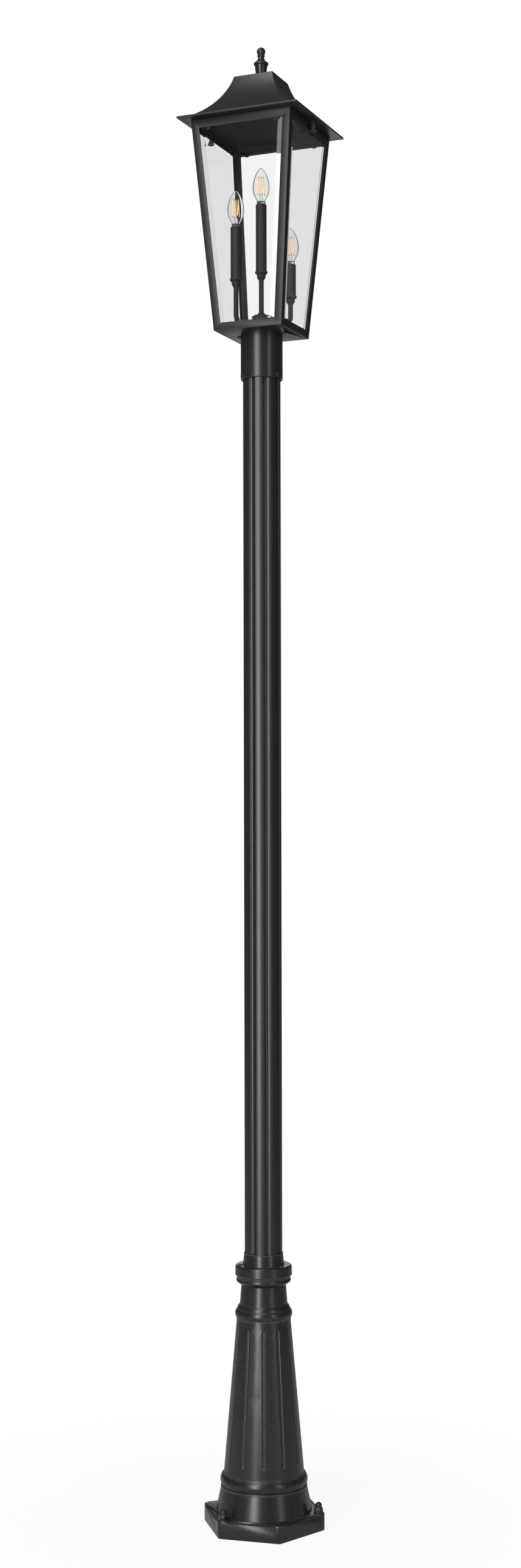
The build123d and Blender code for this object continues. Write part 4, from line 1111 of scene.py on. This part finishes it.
class LANTERN_OT_fasteners(LanternOperator, bpy.types.Operator):
    """Nuts, washers, screws and rivets"""
    bl_idname = "lantern.fasteners"
    bl_label = "Fasteners"

    def build(self, sizes):
        self.anchors(sizes)
        self.screws()
        self.thumb_screws(sizes)
        keep("zinc_plate", "nipple", "nipple_nuts")

    def fastener(self, name, mesh, body, node, smooth=40.0):
        dress(name, mesh, body, "hardware_black", [node], smooth)

    def ring(self, name, source, body, node, smooth=40.0, **where):
        """Fasteners of one kind that stand in a ring."""
        self.fastener(name, ring_of(name, source, "hardware_black", **where), body, node, smooth)

    def anchors(self, sizes):
        """Washers and acorn nuts on the anchor bolts."""
        bolts = dict(count=3, radius=sizes.anchor_radius, start=sizes.foot_turn)
        low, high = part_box("anchor_washers")
        wide, hole = 0.0095, 0.0055
        seam = (hole, (low.z + high.z) / 2)
        outline = rounded([seam, (hole, low.z), (wide, low.z), (wide, high.z), (hole, high.z), seam], 0.0003, 3)
        self.ring("foot_washers", turned("washer", outline[:-1], 48), "post", "anchor_washers", 50.0, **bolts)
        low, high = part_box("acorn_nuts")
        foot, top = low.z, high.z
        shoulder, ball = foot + 0.008, 0.00675
        ledge = ball + 0.0004
        dome = [(ball * cos(t), top - ball + ball * sin(t)) for t in (k * pi / 20 for k in range(11))]
        outline = [(0.0, shoulder - 0.001), (ledge, shoulder - 0.001), (ledge, shoulder),
                   (ball, shoulder + 0.0005), *dome[:-1], (0.0, top)]
        nut = join_meshes("nut", [self.hexagon(sizes.nut_flats / 2, foot, shoulder), turned("nut_dome", outline, 48)])
        self.ring("foot_nuts", nut, "post", "acorn_nuts", 28.0, **bolts)

    def hexagon(self, inner, foot, top):
        """Hexagon prism whose corners are chamfered by a cone at both ends."""
        outer = inner / cos(pi / 6)
        chamfered = inner * 0.985
        steps = 72
        bm = bmesh.new()
        rings = []
        for share, z in ((0.0, foot), (1.0, foot + 0.0007), (1.0, top - 0.0012), (0.0, top - 0.0001), (0.0, top)):
            ring = []
            for k in range(steps):
                turn = tau * k / steps
                flat = inner / cos(turn % (pi / 3) - pi / 6)
                radius = min(flat, chamfered + (outer - chamfered) * share)
                ring.append(bm.verts.new((radius * cos(turn), radius * sin(turn), z)))
            rings.append(ring)
        skin(bm, rings, capped=True)
        return to_mesh("hexagon", bm)

    def screws(self):
        """Screws of the collar, the fitter and the strap, and the ceiling's rivets."""
        low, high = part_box("collar_screws")
        head, screw_circle, first = 0.0028, 0.049, radians(-21.4)
        seat = high.z - head
        screw = pan_screw(seat, seat - low.z, 0.002, 0.0045, head)
        self.ring("cover_screws", screw, "post", "collar_screws", count=3, radius=screw_circle, start=first)
        low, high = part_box("fitter_sleeve")
        sink, shank_end, first = 0.0002, 0.0384, radians(-18.9)
        reach = (high.x - low.x) / 2 - sink
        low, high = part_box("clamp_screws")
        screw = pan_screw(0.0, reach - shank_end, 0.0025, 0.00375, 0.0025)
        self.ring("fitter_screws", screw, "lantern", "clamp_screws", count=3, radius=reach, start=first,
                  tilt=pi / 2, centre=(0, 0, (low.z + high.z) / 2))
        low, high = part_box("strap_screws")
        head, screw_circle = 0.0025, 0.050
        screw = pan_screw(0.0, high.z - low.z - head, 0.002, 0.00375, head)
        self.ring("plate_screws", screw, "lantern", "strap_screws", count=2, radius=screw_circle, tilt=pi,
                  centre=(0, 0, low.z + head))
        low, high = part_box("ceiling_rivets")
        wide = 0.003
        outline = [(0.0, high.z), (wide, high.z), (wide * 0.97, high.z - 0.0004), (wide * 0.8, low.z + 0.0003),
                   (wide * 0.4, low.z + 0.00005), (0.0, low.z)]
        self.ring("ceiling_studs", turned("rivet", outline, 24), "roof", "ceiling_rivets", 50.0, count=4,
                  radius=(high.x - wide) * sqrt(2), start=pi / 4)

    def thumb_screws(self, sizes):
        """Knurled thumb screws with a flange and a socket at their foot."""
        for side in ("left", "right"):
            node = "thumb_screw_" + side
            low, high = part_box(node)
            foot, top = low.z, low.z + 0.017
            flange, head, socket, shank, grooves = 0.007, 0.00525, 0.0035, 0.002, 24
            socket_roof = foot + 0.0025
            grip = [(head - 0.0003, foot + 0.0030), *((head, foot + 0.0034 + k * 0.0032) for k in range(5)),
                    (head - 0.0004, top - 0.0004)]
            outline = [(0.0, socket_roof), (socket, socket_roof), (socket, foot + 0.0003),
                       (socket + 0.0003, foot), (flange - 0.0005, foot), (flange, foot + 0.0005),
                       (flange, foot + 0.0017), (flange - 0.0003, foot + 0.0020), *grip, (head - 0.0008, top),
                       (shank, top), (shank, high.z - 0.0004), (shank - 0.0004, high.z), (0.0, high.z)]
            mesh = ribbed(turned("thumb", outline, 144, middle(node)), foot + 0.0032, top - 0.0006, grooves,
                          sizes.knurl_depth, middle(node))
            self.fastener("thumb_knob_" + side, mesh, node, node, 35.0)


STEPS = (LANTERN_OT_stage, LANTERN_OT_foot, LANTERN_OT_post, LANTERN_OT_fitter, LANTERN_OT_frame, LANTERN_OT_panes,
         LANTERN_OT_roof, LANTERN_OT_candles, LANTERN_OT_bulbs, LANTERN_OT_fasteners)


class LANTERN_PT_panel(bpy.types.Panel):
    """Sizes, finishes and steps of the post lantern"""
    bl_idname = "LANTERN_PT_panel"
    bl_label = "Post Lantern"
    bl_space_type = "VIEW_3D"
    bl_region_type = "UI"
    bl_category = "Lantern"

    def draw(self, context):
        layout = self.layout
        for step in STEPS:
            layout.operator(step.bl_idname)
        for group in (context.scene.lantern_sizes, context.scene.lantern_finishes, context.scene.lantern_studio):
            box = layout.box()
            for name in group.__annotations__:
                box.prop(group, name)


GROUPS = {"lantern_sizes": LanternSizes, "lantern_finishes": LanternFinishes, "lantern_studio": LanternStudio}


def register():
    for group in (*GROUPS.values(), *STEPS, LANTERN_PT_panel):
        bpy.utils.register_class(group)
    for name, group in GROUPS.items():
        setattr(bpy.types.Scene, name, PointerProperty(type=group))


def unregister():
    for name in GROUPS:
        delattr(bpy.types.Scene, name)
    for group in reversed((*GROUPS.values(), *STEPS, LANTERN_PT_panel)):
        bpy.utils.unregister_class(group)


def main():
    register()
    bpy.ops.lantern.stage()
    bpy.ops.lantern.foot()
    bpy.ops.lantern.post()
    bpy.ops.lantern.fitter()
    bpy.ops.lantern.frame()
    bpy.ops.lantern.panes()
    bpy.ops.lantern.roof()
    bpy.ops.lantern.candles()
    bpy.ops.lantern.bulbs()
    bpy.ops.lantern.fasteners()


if __name__ == "__main__":
    main()
